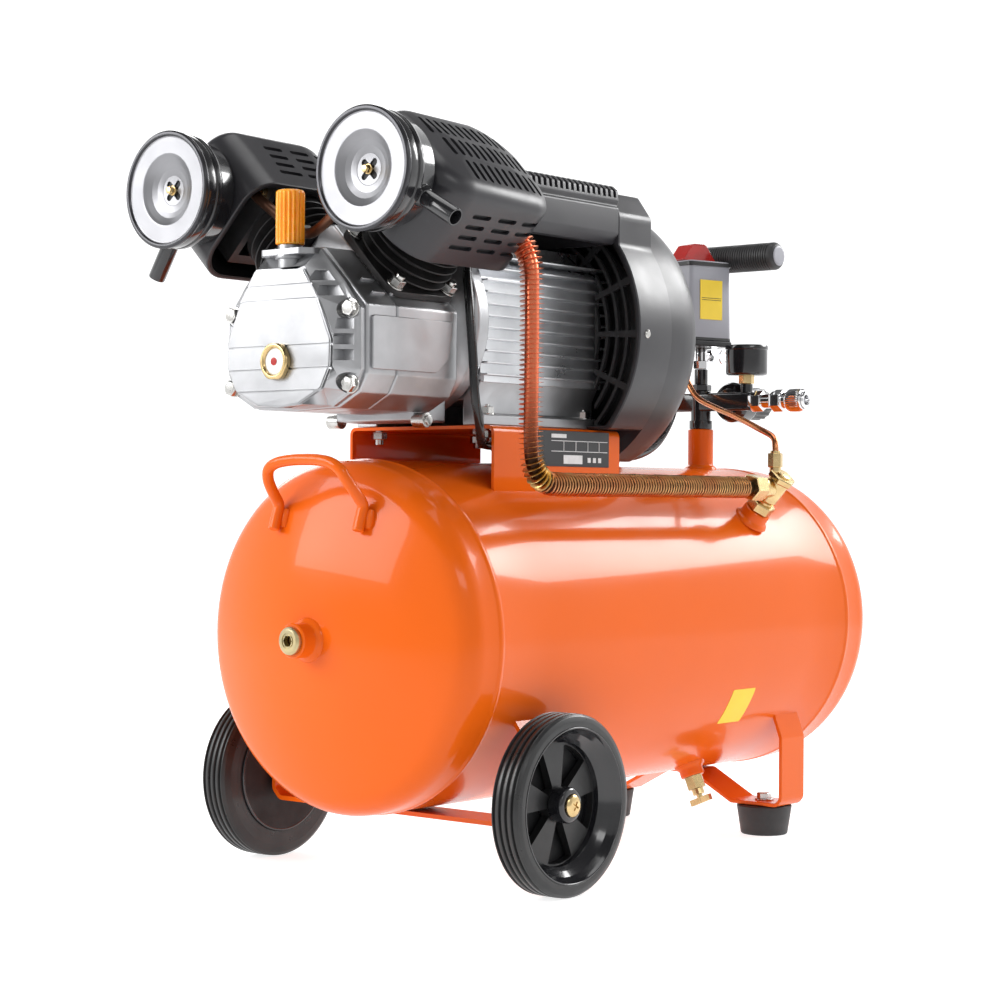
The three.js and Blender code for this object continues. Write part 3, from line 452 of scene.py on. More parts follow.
def smooth_path(points, step):
    """A Catmull-Rom curve through the points, sampled about every step millimetres."""
    pts = [Vector(p) for p in points]
    pts = [2 * pts[0] - pts[1]] + pts + [2 * pts[-1] - pts[-2]]
    out = []
    for i in range(1, len(pts) - 2):
        p0, p1, p2, p3 = pts[i - 1:i + 3]
        pieces = max(1, round((p2 - p1).length / step))
        for k in range(pieces):
            t = k / pieces
            out.append(0.5 * (2 * p1 + (p2 - p0) * t + (2 * p0 - 5 * p1 + 4 * p2 - p3) * t * t
                              + (3 * p1 - p0 - 3 * p2 + p3) * t ** 3))
    out.append(pts[-2])
    return out


def frames(path):
    tangents = []
    for i in range(len(path)):
        a, b = path[max(i - 1, 0)], path[min(i + 1, len(path) - 1)]
        tangents.append((b - a).normalized())
    side = tangents[0].orthogonal().normalized()
    result = []
    for t in tangents:
        side = (side - t * side.dot(t)).normalized()
        result.append((side.copy(), t.cross(side)))
    return tangents, result


def tube(points, radius, sides=20, step=4.0, smooth=True):
    path = smooth_path(points, step) if smooth else [Vector(p) for p in points]
    _, sides_of = frames(path)
    rings = []
    for i, (p, (u, v)) in enumerate(zip(path, sides_of)):
        r = radius(i / (len(path) - 1)) if callable(radius) else radius
        rings.append([p + (u * math.cos(a) + v * math.sin(a)) * r
                      for a in (2 * math.pi * k / sides for k in range(sides))])
    return loft(rings)


def helical_fin(path, inner, outer, pitch, root, crest, around=22):
    """A fin wound round a path, `root` thick at the pipe and `crest` thick at its rim."""
    path = smooth_path(path, pitch / around)
    tangents, sides_of = frames(path)
    rings, run, last = [], 0.0, -math.pi
    for i, p in enumerate(path):
        run += (p - path[i - 1]).length if i else 0
        turned = 2 * math.pi * run / pitch
        if turned - last < 2 * math.pi / around:
            continue
        last = turned
        u, v = sides_of[i]
        out = u * math.cos(turned) + v * math.sin(turned)
        foot, rim = tangents[i] * root / 2, tangents[i] * crest / 2
        shoulder = p + out * (outer - crest * 0.45)
        rings.append([p + out * inner - foot, shoulder - rim, p + out * outer, shoulder + rim,
                      p + out * inner + foot])
    return loft(rings)


def polar_plate(radii, angles, solid, low, high, axis="x", centre=(0, 0, 0)):
    """A flat ring plate made of cells; a cell with solid(i, j) False is a hole."""
    put = basis(axis, centre)
    nr, na = len(radii), len(angles)
    verts = [put(r * math.cos(a), r * math.sin(a), h) for h in (low, high) for r in radii
             for a in angles]

    def at(i, j, top):
        return top * nr * na + i * na + j % na

    def full(i, j):
        return 0 <= i < nr - 1 and solid(i, j % na)

    faces = []
    for i in range(nr - 1):
        for j in range(na):
            if not full(i, j):
                continue
            faces.append((at(i, j, 1), at(i + 1, j, 1), at(i + 1, j + 1, 1), at(i, j + 1, 1)))
            faces.append((at(i, j, 0), at(i, j + 1, 0), at(i + 1, j + 1, 0), at(i + 1, j, 0)))
            for ok, a, b in ((full(i - 1, j), (i, j), (i, j + 1)),
                             (full(i + 1, j), (i + 1, j + 1), (i + 1, j)),
                             (full(i, j - 1), (i + 1, j), (i, j)),
                             (full(i, j + 1), (i, j + 1), (i + 1, j + 1))):
                if not ok:
                    faces.append((at(*a, 0), at(*a, 1), at(*b, 1), at(*b, 0)))
    used = sorted({i for face in faces for i in face})
    index = {old: new for new, old in enumerate(used)}
    return [verts[i] for i in used], [tuple(index[i] for i in face) for face in faces]


# ---- Pieces -------------------------------------------------------------------------------------
def to_mesh(name, shape):
    verts = [row(*v) for v in shape[0]]
    mesh = bpy.data.meshes.new(name)
    mesh.from_pydata([tuple(v) for v in verts], [], shape[1])
    mesh.validate()
    bm = bmesh.new()
    bm.from_mesh(mesh)
    bmesh.ops.recalc_face_normals(bm, faces=bm.faces)
    bm.to_mesh(mesh)
    bm.free()
    return mesh


def shade(mesh, angle):
    for polygon in mesh.polygons:
        polygon.use_smooth = True
    if angle:
        mesh.set_sharp_from_angle(angle=math.radians(angle))


def bevelled(obj, width, segments=2, angle=32):
    made = obj.modifiers.new("soft_edges", "BEVEL")
    made.width = width * MM
    made.segments = segments
    made.limit_method = "ANGLE"
    made.angle_limit = math.radians(angle)
    made.use_clamp_overlap = True


def cut(obj, shapes):
    """Cuts a list of closed shapes from a piece that isn't riding yet."""
    tool = bpy.data.objects.new("cutter", to_mesh("cutter", join(*shapes)))
    bpy.context.scene.collection.objects.link(tool)
    made = obj.modifiers.new("cut", "BOOLEAN")
    made.operation = "DIFFERENCE"
    made.object = tool
    made.solver = "MANIFOLD"
    graph = bpy.context.evaluated_depsgraph_get()
    mesh = bpy.data.meshes.new_from_object(obj.evaluated_get(graph))
    obj.modifiers.remove(made)
    old = obj.data
    obj.data = mesh
    bpy.data.meshes.remove(old)
    bpy.data.objects.remove(tool)


def piece(name, shape, material, body="machine", stands_for=(), bevel=0.0,
          angle=35, cuts=(), segments=2):
    obj = bpy.data.objects.new(name, to_mesh(name, shape))
    bpy.context.scene.collection.objects.link(obj)
    for shapes in cuts:
        cut(obj, shapes)
    obj.data.materials.clear()
    obj.data.materials.append(MAT[material])
    shade(obj.data, angle)
    if bevel:
        bevelled(obj, bevel, segments)
    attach(obj, body)
    if stands_for:
        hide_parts(*stands_for)


def dress(node, material, bevel=0.0, angle=35):
    """Gives a CAD node that stays its finish and softened edges."""
    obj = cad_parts[node]
    obj.data.materials.clear()
    obj.data.materials.append(MAT[material])
    shade(obj.data, angle)
    if bevel:
        bevelled(obj, bevel)


# ---- Floor and light ----------------------------------------------------------------------------
def make_stage():
    flat, bend, height, steps = 3.4, 2.2, 4.6, 12
    profile = [(0.0, 0.0), (flat, 0.0)]
    for k in range(1, steps + 1):
        a = math.pi / 2 * k / steps
        profile.append((flat + bend * math.sin(a), bend * (1 - math.cos(a))))
    profile.append((flat + bend, height))
    verts, faces = [(0, 0, 0)], []
    around = 96
    for r, z in profile[1:]:
        verts += [(r * math.cos(2 * math.pi * k / around), r * math.sin(2 * math.pi * k / around),
                   z) for k in range(around)]
    faces += [(0, 1 + k, 1 + (k + 1) % around) for k in range(around)]
    for ring in range(len(profile) - 2):
        a = 1 + ring * around
        faces += [(a + k, a + around + k, a + around + (k + 1) % around, a + (k + 1) % around)
                  for k in range(around)]
    mesh = bpy.data.meshes.new("backdrop")
    mesh.from_pydata(verts, [], faces)
    shade(mesh, 0)
    surface = Surface("backdrop_paper", (0.5, 0.505, 0.51), 0.5)
    surface.vary_rough(0.03, 4).set(Specular_IOR_Level=0.25, Emission_Color=(1, 1, 1, 1))
    # The backdrop glows, and its glow and colour drop to 55 % towards the camera side: painted shade on
    # the near floor.
    surface.paint_light_falloff((-0.77, -0.64, 0), 0.75, 2.2, 0.55, 0.8)
    mesh.materials.append(surface.mat)
    floor = bpy.data.objects.new("backdrop", mesh)
    bpy.context.scene.collection.objects.link(floor)


def softbox(name, place, aim, width, height, power):
    data = bpy.data.lights.new(name, "AREA")
    data.shape = "RECTANGLE"
    data.size, data.size_y = width, height
    data.energy = power
    lamp = bpy.data.objects.new(name, data)
    direction = Vector(aim) - Vector(place)
    lamp.location = place
    lamp.rotation_euler = direction.to_track_quat("-Z", "Y").to_euler()
    bpy.context.scene.collection.objects.link(lamp)


def make_light():
    world = bpy.data.worlds.new("studio")
    world.use_nodes = True
    world.node_tree.nodes["Background"].inputs["Color"].default_value = (1, 1, 1, 1)
    world.node_tree.nodes["Background"].inputs["Strength"].default_value = 0.15
    bpy.context.scene.world = world
    softbox("overhead", (0.1, -0.2, 2.9), (0, 0, 0.3), 2.0, 1.4, 20)
    softbox("rear_right_box", (2.1, -0.95, 1.6), (0.05, -0.1, 0.25), 1.4, 0.8, 42)
    softbox("front_box", (-2.1, 1.2, 1.36), (-0.3, 0, 0.25), 1.75, 1.2, 44)
    softbox("left_fill", (-1.0, -2.6, 1.9), (0, 0, 0.4), 1.2, 0.5, 9)
    softbox("rear_box", (1.6, 2.6, 1.8), (0, 0, 0.35), 1.8, 1.2, 18)


make_stage()
make_light()


# ---- Tank ---------------------------------------------------------------------------------------
def dish(radius, depth, knuckle, steps=16, knee=8):
    crown = (depth ** 2 + (radius - knuckle) ** 2 - knuckle ** 2) / (2 * (depth - knuckle))
    turn = math.atan2(radius - knuckle, crown - depth)
    points = []
    for i in range(knee + 1):
        a = math.pi / 2 - (math.pi / 2 - turn) * i / knee
        points.append((radius - knuckle + knuckle * math.sin(a), knuckle * math.cos(a)))
    for i in range(1, steps + 1):
        a = turn * (1 - i / steps)
        points.append((crown * math.sin(a), depth - crown + crown * math.cos(a)))
    return points


# Across a round weld: place along the tank, and height over it.
WELD_BEAD = [(-4.2, 0), (-3.2, 0.25), (-1.6, 1.0), (0, 1.2), (1.6, 1.0), (3.2, 0.25), (4.2, 0)]


def tank_profile(shrink, hole, beads):
    half = dish(TANK_R - shrink, END_DEPTH - shrink, KNUCKLE - shrink)
    front = [(r, END_EDGES[0] - d) for r, d in reversed(half)]
    rear = [(r, END_EDGES[1] + d) for r, d in half]
    front[0] = (hole, front[0][1])
    middle = []
    if beads:
        for x in SEAMS:
            middle += [(TANK_R + lift, x + along) for along, lift in WELD_BEAD]
            if x == SEAMS[0]:
                middle += [(TANK_R, SEAMS[1] * k / 8) for k in range(1, 8)]
    return front + middle + rear


def seated(shape, tilt, point):
    return moved(shape, Matrix.Translation(point) @ Matrix.Rotation(math.radians(tilt), 4, "X"))


def radial(angle, distance, x):
    a = math.radians(angle)
    return Vector((x, -distance * math.sin(a), TANK_Z + distance * math.cos(a)))


def boss(radius, hole, low, high, weld=4.0, weld_from=0.0):
    profile = [(hole, low), (radius + weld, weld_from - 1), (radius + weld * 0.85, weld_from + 1),
               (radius + weld * 0.45, weld_from + 2.6), (radius + 0.3, weld_from + 3.6),
               (radius, weld_from + 4.4), (radius, high - 1), (radius - 1, high), (hole, high)]
    return lathe(profile, "z", segments=56)


VALVE_SEAT = Vector((433, -116, 318))
VALVE_TILT = 41
DRAIN_ANGLE = 157
DRAIN_SEAT = radial(DRAIN_ANGLE, TANK_R, 410)


def make_tank():
    shell = lathe(tank_profile(0, 9.5, True) + list(reversed(tank_profile(2.5, 9.5, False))),
                  "x", TANK_CENTRE, 144)
    front = moved(boss(15, 9.5, -2, 18, 4.5), Matrix.Translation((-74, 0, TANK_Z))
                  @ Matrix.Rotation(math.radians(-90), 4, "Y"))
    post = moved(boss(13.3, 10.2, -6, 41.5, 4), Matrix.Translation((POST_X, 0, 370.5)))
    valve = seated(boss(14, 8.3, -6, 14, 4, 1.0), VALVE_TILT, VALVE_SEAT)
    drain = seated(boss(12, 7.3, -4, 12, 3.5, 0.2), DRAIN_ANGLE, DRAIN_SEAT)
    piece("tank_paint", join(shell, front, post, valve, drain), "orange",
          stands_for=["tank_shell"], angle=40)
    half_route = [(-64.5, 50, 309), (-61.5, 50, 319), (-58.5, 50, 329), (-60.5, 50, 334),
                  (-66.5, 49, 341), (-75, 46.5, 352), (-79, 42, 361), (-80, 32, 366.5),
                  (-79, 16, 369), (-78.5, 0, 369.5)]
    route = [(x, -y, z) for x, y, z in half_route] + half_route[-2::-1]
    piece("tank_lift_handle", tube(route, 5, 28, 2.5), "orange",
          stands_for=["tank_handle"], bevel=0.8)
    welds = [moved(lathe([(0, -9), (3, -8), (4, -3), (4, 3), (3, 8), (0, 9)], "z", segments=20),
                   Matrix.Translation((-55.5, side * (50 + out * 5), 319))
                   @ Matrix.Rotation(math.radians(14), 4, "Y"))
             for side in (-1, 1) for out in (-1, 1)]
    piece("lift_handle_welds", join(*welds), "orange")
    plug = join(rod("x", TANK_CENTRE, 9.2, -90, -74),
                lathe(fillet([(0, -97), (9.6, -97), (11.9, -95.4), (12.2, -92.3), (0, -92.3)], 0.6, 3),
                      "x", TANK_CENTRE, 72))
    socket = hexagon("x", TANK_CENTRE, 9, -99, -88.5)
    groove = lathe([(5.6, -99), (6.8, -99), (6.8, -96.3), (5.6, -96.3)], "x", TANK_CENTRE, 48)
    piece("front_plug", plug, "old_brass", stands_for=["front_port_plug"],
          cuts=[[socket], [groove]], bevel=0.4)


def patch(angles, xs, lift, thick, corner=1):
    rings = []
    count = 24
    for k in range(count + 1):
        a = angles[0] + (angles[1] - angles[0]) * k / count
        pull = corner if k in (0, count) else 0
        low = [radial(a, TANK_R + lift, x) for x in (xs[0] + pull, xs[1] - pull)]
        high = [radial(a, TANK_R + lift + thick, x) for x in (xs[1] - pull, xs[0] + pull)]
        rings.append(low + high)
    return loft(rings)


def make_labels():
    piece("tank_yellow_label", patch((113, 127.5), (366, 404), -0.3, 0.6), "label_yellow")
    piece("bracket_plate", cuboid((132, 237), (-87.4, -86.5), (367, 399.5)), "label_black",
          bevel=0.3)
    rules = [cuboid((150, 234), (-87.7, -87.2), (z, z + 0.6)) for z in (390, 380.5)]
    rules += [cuboid((x, x + 0.6), (-87.7, -87.2), (380.5, 390.6)) for x in (168, 186, 204, 221)]
    rules += [cuboid((168, 196), (-87.7, -87.2), (369.5, 377.5)),
              cuboid((150, 172), (-87.7, -87.2), (393, 396.5))]
    rules += [cuboid((x, x + 4.5), (-87.7, -87.2), (371, 375.5)) for x in (204, 212, 220)]
    piece("bracket_plate_print", join(*rules), "label_white")


# ---- Brackets, wheels and feet ------------------------------------------------------------------
def sheet_outline(line, thickness):
    left, right = [], []
    for i, p in enumerate(line):
        here = Vector(p[:2])
        before = Vector(line[max(i - 1, 0)][:2])
        after = Vector(line[min(i + 1, len(line) - 1)][:2])
        inward = (here - before).normalized() if i else (after - here).normalized()
        onward = (after - here).normalized() if i < len(line) - 1 else inward
        along = (inward + onward).normalized()
        reach = thickness / 2 / along.dot(onward)
        normal = Vector((-along.y, along.x))
        left.append(tuple(here + normal * reach))
        right.append(tuple(here - normal * reach))
    return left + right[::-1]


def mirrored(half):
    return list(half) + [(-y, z) for y, z in reversed(half[:-1])]


def strap(name, half, thickness, low, high, node, radius=7, cuts=()):
    line = fillet(mirrored(half), radius, 5)
    piece(name, prism(sheet_outline(line, thickness), low, high), "orange",
          stands_for=[node], bevel=0.7, cuts=cuts)


def make_supports():
    axle = rod("y", WHEEL_CENTRE, 6.3, -170, 170)
    strap("front_strap", [(-135, 150), (-151, 130), (-151, 66), (-143, 58), (0, 58)], 4,
          WHEEL_X - 20, WHEEL_X + 20, "front_bracket", cuts=[[axle]])
    strap("rear_strap", [(-121, 127), (-131, 100), (-131, 38), (-126, 32.1), (-72, 32.1),
                         (-24, 58.3), (0, 58.3)], 3.6, 467, 509, "rear_bracket")
    channel = [(-85.2, 316), (-85.2, 400.5), (0, 400.5)]
    holes = [rod("z", (x, y, 0), 4.5, 390, 410) for x, y in SADDLE_BOLTS]
    line = fillet(mirrored(channel), 6, 5)
    piece("motor_saddle", prism(sheet_outline(line, 3), 70, 254), "orange",
          stands_for=["motor_bracket"], bevel=0.6, cuts=[holes])
    for name, side in (("left", -1), ("right", 1)):
        seat = (488, side * 99, 0)
        pad = fillet([(0, 4), (10, 4), (10, 0), (22.6, 0), (23.6, 1.2), (27.8, 28.4), (27, 29.7),
                      (0, 29.7)], 0.9, 4)
        piece("foot_pad_" + name, lathe(pad, "z", seat, 64), "rubber",
              stands_for=["foot_" + name])
        washer = rod("z", seat, 9.5, 33.9, 35.4)
        piece("foot_nut_" + name, join(rod("z", seat, 4, 10, 36), hexagon("z", seat, 13, 35, 41),
                                       washer), "zinc",
              stands_for=["foot_" + name])


def wheel(name, side):
    centre = WHEEL_CENTRE
    body = "wheel_" + name
    tread = []
    for k in range(4):
        y = 163.9 + k * 6.4
        tread += [(77.9, y - 1.7), (75.2, y - 0.9), (75.2, y + 0.9), (77.9, y + 1.7)]
    section = [(54.3, 158), (60, 158.4), (68, 158), (74.5, 159.4), (77.4, 161.2)] + tread
    section += [(77.4, 185.6), (75.4, 187.6), (71.5, 188.8), (67.2, 189), (65.5, 187.6),
                (62, 182), (57.8, 177), (54.3, 174)]
    points = fillet([(r, side * y) for r, y in section], 0.6, 2, closed=True)
    piece("tyre_tread_" + name, lathe(points, "y", centre, 144), "tyre", body,
          ["tyre_" + name], angle=50)

    rim = [(51.6, 156), (54.1, 156), (54.6, 173), (58.4, 176.2), (63, 181.4), (66.2, 187),
           (66.8, 189.2), (65.4, 189.4), (63.8, 186.2), (60.6, 181.4), (56.2, 177), (52.8, 173.2),
           (51.7, 168)]
    rim = fillet([(r, side * y) for r, y in rim], 1.2, 3, closed=True)
    web = [(10, 162), (52.4, 162), (52.4, 168.6), (32, 169.6), (10, 170.4)]
    web = [(r, side * y) for r, y in web]
    core = [(6.3, 154), (14, 154), (14, 170), (15.4, 172), (15.4, 182.5), (14.6, 184.2),
            (12.6, 185.4), (10, 185.6), (9.6, 184.6), (6.3, 184.6)]
    core = [(r, side * y) for r, y in core]
    openings = []
    for k in range(5):
        a = 2 * math.pi * k / 5 + math.radians(30)
        outline = []
        for r, spread in ((14.8, 0.25), (51.2, 0.33)):
            turns = (-spread, -spread / 2, 0, spread / 2, spread)
            for t in (turns if r > 30 else turns[::-1]):
                outline.append((r * math.cos(a + t), r * math.sin(a + t)))
        outline = fillet(outline, 1.5, 3, closed=True)
        low, high = sorted((side * 150, side * 180))
        openings.append(prism(outline, low, high, "y", centre))
    piece("hub_spokes_" + name, lathe(web, "y", centre, 120), "hub_black", body,
          ["hub_" + name], bevel=0.9, cuts=[openings])
    piece("hub_rim_" + name, lathe(rim, "y", centre, 144), "gloss_black", body,
          ["hub_" + name], angle=60)
    piece("hub_boss_" + name, lathe(core, "y", centre, 72), "gloss_black", body,
          ["hub_" + name], bevel=0.4)
    # A near-black disc behind the spoke openings: painted shade in the hub's hollow.
    back = [(13, side * 156.2), (52.6, side * 156.2), (52.6, side * 158.4), (13, side * 158.4)]
    piece("hub_back_" + name, lathe(back, "y", centre, 64), "dark", body, ["hub_" + name])

    def span(a, b):
        return sorted((side * a, side * b))

    head = [(0, 186), (9.5, 186), (9.5, 187.4), (8.2, 188.8), (5, 189.5), (0, 189.7)]
    head = lathe([(r, side * y) for r, y in head], "y", centre, 48)
    cross = []
    for turn in (0.5, 0.5 + math.pi / 2):
        low, high = span(188, 192)
        bar = cuboid((-4.2, 4.2), (low, high), (-0.9, 0.9))
        cross.append(moved(bar, Matrix.Translation(centre) @ Matrix.Rotation(turn, 4, "Y")))
    piece("axle_screw_" + name, head, "brass", stands_for=["axle_bolt_" + name],
          cuts=[cross[:1], cross[1:]])
    low, high = span(144, 187)
    nut_low, nut_high = span(138, 148.5)
    piece("axle_shank_" + name, join(rod("y", centre, 6, low, high),
                                     hexagon("y", centre, 18, nut_low, nut_high)), "zinc",
          stands_for=["axle_bolt_" + name])


# ---- Motor --------------------------------------------------------------------------------------
def fin_plate(y0, y1, z0, z1, x0, x1, flat):
    """A tapered fin from root to tip; flat fins lie level, the others stand up."""
    if flat:
        root, tip = 1.6, 0.8
        mid = (z0 + z1) / 2
        outline = [(y0, mid - root), (y1, mid - tip), (y1, mid + tip), (y0, mid + root)]
    else:
        root, tip = 1.6, 0.9
        mid = (y0 + y1) / 2
        outline = [(mid - root, z0), (mid - tip, z1), (mid + tip, z1), (mid + root, z0)]
    return prism(outline, x0, x1)


def make_motor():
    barrel = lathe([(60.3, 66), (65, 66), (66.5, 67.5), (66.5, 243), (60.3, 243)], "x", SHAFT, 96)
    ends = [lathe([(60.3, x), (70, x), (70, x + 7), (69, x + 8), (60.3, x + 8)], "x", SHAFT, 96)
            for x in (67, 234)]
    fins = []
    for i in range(11):
        z = AXIS_Z - 46 + i * 10.4
        reach = math.sqrt(max(66 ** 2 - (z - AXIS_Z) ** 2, 0))
        for side in (-1, 1):
            fins.append(fin_plate(side * (reach - 2), side * 80, z - 1, z + 1, 68, 243, True))
    for i in range(-4, 5):
        y = i * 10.6
        reach = math.sqrt(66 ** 2 - y ** 2)
        fins.append(fin_plate(y - 1, y + 1, AXIS_Z + reach - 2, AXIS_Z + 76, 68, 243, False))
    flanks = [prism(fillet([(side * 56, 441), (side * 71.5, 441), (side * 71.5, 532),
                            (side * 66, 547), (side * 52, 552), (side * 40, 552)], 5, 4,
                           closed=True), 68.5, 241) for side in (-1, 1)]
    pedestal = [(-74, 443), (-66.5, 428), (-66, 413), (-76, 411.2), (-76, 402.3), (76, 402.3),
                (76, 411.2), (66, 413), (66.5, 428), (74, 443)]
    base = prism(pedestal, 68, 238)
    shoulders = [cuboid((68, 238), sorted((side * 58, side * 76)), (440, 446))
                 for side in (-1, 1)]
    piece("motor_casting", join(barrel, *ends, *fins, *flanks, *shoulders), "motor_alloy",
          stands_for=["motor_frame"], bevel=0.35)
    piece("motor_pedestal", base, "alloy", stands_for=["motor_frame"], bevel=1.2,
          cuts=[[lathe([(0, 60), (66, 60), (66, 250), (0, 250)], "x", SHAFT, 72)],
                [cuboid((60, 236), (-52, 52), (400, 425))]])
    bolts = []
    for place in SADDLE_BOLTS:
        at = (*place, 0)
        bolts += [rod("z", at, 9, 411.2, 413), hexagon("z", at, 13, 412.6, 419),
                  rod("z", at, 4, 386, 412), hexagon("z", at, 13, 391, 398),
                  rod("z", at, 3.9, 418, 421)]
    piece("motor_bolts", join(*bolts), "zinc")


def ray(outline, angle):
    """Distance from the origin to a convex outline along an angle."""
    d = Vector((math.cos(angle), math.sin(angle)))
    best = 0.0
    for i, p in enumerate(outline):
        a, b = Vector(p), Vector(outline[(i + 1) % len(outline)])
        edge = b - a
        cross = d.x * edge.y - d.y * edge.x
        if abs(cross) < 1e-9:
            continue
        t = (a.x * edge.y - a.y * edge.x) / cross
        s = (a.x * d.y - a.y * d.x) / cross
        if t > 0 and -1e-6 <= s <= 1 + 1e-6:
            best = max(best, t)
    return best


HUMP = [(-112, 40), (-112, 107), (-96, 129), (96, 129), (112, 107), (112, 40)]


def shroud_ring(x, radius, floor, hump=False, shrink=0, count=360):
    ring = []
    body = fillet(HUMP, 5, 4, closed=True)
    for k in range(count):
        a = 2 * math.pi * k / count
        r = radius
        if hump and math.sin(a) > 0.2:
            r = max(r, ray(body, a) - shrink)
        if math.sin(a) < 0:
            r = min(r, (AXIS_Z - floor - shrink) / -math.sin(a))
        ring.append(Vector((x, r * math.cos(a), AXIS_Z + r * math.sin(a))))
    return ring


def make_shroud():
    # Each section: x, radius, floor; the first four also follow the hump over the motor.
    humped = [(217, 136, 403.4, True, 1), (218.2, 137, 402.6, True, 0),
              (267.4, 136, 402.6, True, 0), (268.6, 135.8, 401.8, True, 1)]
    outer = [(268.8, 135.8, 375), (290, 135.2, 374), (304, 134, 374), (314, 131, 374),
             (321, 126.5, 374.6), (326, 121, 377), (329, 116, 381), (330, 111, 386)]
    inner = [(330, 106, 391), (327, 106, 391), (324, 116, 383), (318, 124, 378),
             (304, 130.5, 377), (271, 132.6, 377), (265, 132.8, 405.4), (217, 133.4, 405.4)]
    rings = [shroud_ring(*section) for section in humped + outer + inner]
    verts, faces = loft(rings, cap=False)
    faces += closing_band(len(rings), len(rings[0]))
    notch = cuboid((210, 335), (-48, -24), (340, 391))
    piece("shroud_skin", (verts, faces), "charcoal", stands_for=["fan_shroud"],
          angle=28, cuts=[[notch]])

    cells, ribs = 240, 16
    angles = [2 * math.pi / cells * k for k in range(cells)]

    def grille(radii, rib_width, low, high):
        """A ring plate with four rings of slots between its ribs."""
        return polar_plate(radii, angles, lambda i, j: i not in (2, 4, 6, 8)
                           or j % (cells // ribs) < rib_width, low, high, "x", SHAFT)

    plate = grille([74, 80, 86, 94.5, 97.5, 106, 109, 117.5, 120.5, 129, 135], 2, 221, 225)
    tunnel = [cuboid((210, 240), (-82, 82), (400, 547)), cuboid((210, 240), (-45, 45), (480, 571)),
              cuboid((210, 240), (-150, 150), (340, 404.5))]
    piece("front_grille", plate, "grille", stands_for=["fan_shroud"],
          cuts=[tunnel[:1], tunnel[1:2], tunnel[2:]])
    wall = prism(fillet([(-111, 42 + AXIS_Z), (-111, 106.6 + AXIS_Z), (-95.6, 128 + AXIS_Z),
                         (95.6, 128 + AXIS_Z), (111, 106.6 + AXIS_Z), (111, 42 + AXIS_Z)], 5, 4,
                        closed=True), 217.6, 221)
    piece("shroud_front_wall", wall, "charcoal", stands_for=["fan_shroud"],
          bevel=0.5,
          cuts=[[lathe([(0, 210), (134, 210), (134, 230), (0, 230)], "x", SHAFT, 96)]])
    plate = grille([24, 32, 40, 47, 52, 59, 64, 71, 76, 83, 88, 107], 3, 326, 329.5)
    hub = lathe(fillet([(0, 325.5), (25.5, 325.5), (25.5, 329.6), (22, 331), (0, 331)], 1, 2),
                "x", SHAFT, 64)
    piece("rear_grille", join(plate, hub), "grille", stands_for=["fan_shroud"])
    screws = []
    for a in (math.radians(181.5), math.radians(-1.5)):
        head = lathe([(0, -1), (4, -1), (4, 0.6), (2.8, 1.6), (0, 1.8)], "z", segments=24)
        place = Vector((229, 136.6 * math.cos(a), AXIS_Z + 136.6 * math.sin(a)))
        aim = Vector((0, math.cos(a), math.sin(a))).to_track_quat("Z", "X").to_matrix()
        screws.append(moved(head, Matrix.Translation(place) @ aim.to_4x4()))
    piece("shroud_screws", join(*screws), "steel")


def make_capacitor_box():
    half, low, high, front, rear = 112, 572, 626, 68, 216.7
    side = [(-half + 7, low), (-half, low + 10), (-half, 605), (-half + 2, 607),
            (-half + 2, 609), (-half, 611), (-half + 1, 621), (-half + 7, high)]
    outline = fillet(mirrored(side + [(0, high)]), 3, 4, closed=True)
    teeth = []
    x = front + 7
    while x < rear - 5:
        for y in (-half, half):
            teeth.append(cuboid((x, x + 3.6), (y - 9, y + 9), (614.5, high + 2)))
        x += 7.9
    room = cuboid((front + 3, rear - 3), (-half + 12, half - 12), (low - 2, high - 3))
    piece("capacitor_housing", prism(outline, front, rear), "charcoal",
          stands_for=["capacitor_box"], bevel=1.4,
          cuts=[[room], teeth[::2], teeth[1::2]])
    ribs = [cuboid((front + 10, rear - 10), (y - 1.2, y + 1.2), (high - 0.5, high + 0.8))
            for y in (-60, -20, 20, 60)]
    piece("capacitor_lid_ribs", join(*ribs), "charcoal", bevel=0.5)


make_tank()
make_labels()
make_supports()
wheel("left", -1)
wheel("right", 1)
make_motor()
make_shroud()
make_capacitor_box()


# ---- Pump -----------------------------------------------------------------------------------------
def house(inset, roof_height=548.0):
    seat, side, roof = 60 - inset, 80 - inset, roof_height - inset
    shoulder = AXIS_Z + seat * math.sqrt(2) - side
    peak = seat * math.sqrt(2) - (roof - AXIS_Z)
    floor = 410 + inset
    return fillet(mirrored([(-peak, roof), (-side, shoulder), (-side, 440), (-side + 9, floor + 14),
                            (-side + 32, floor + 2), (0, floor)]), 5, 4, closed=True)


def hex_bolt(axis, centre, flats, low, high, turn=0.0, washer=1.4):
    """A bolt head with its washer; low is the seat and high the head's top."""
    step = washer if high > low else -washer
    a, b = sorted((low, low + step))
    c, d = sorted((low + step * 0.9, high))
    cup = 0.25 if high > low else -0.25
    dome = sorted((high - cup, high + cup))
    return join(rod(axis, centre, flats * 0.66, a, b), hexagon(axis, centre, flats, c, d, turn),
                rod(axis, centre, flats * 0.42, *dome))


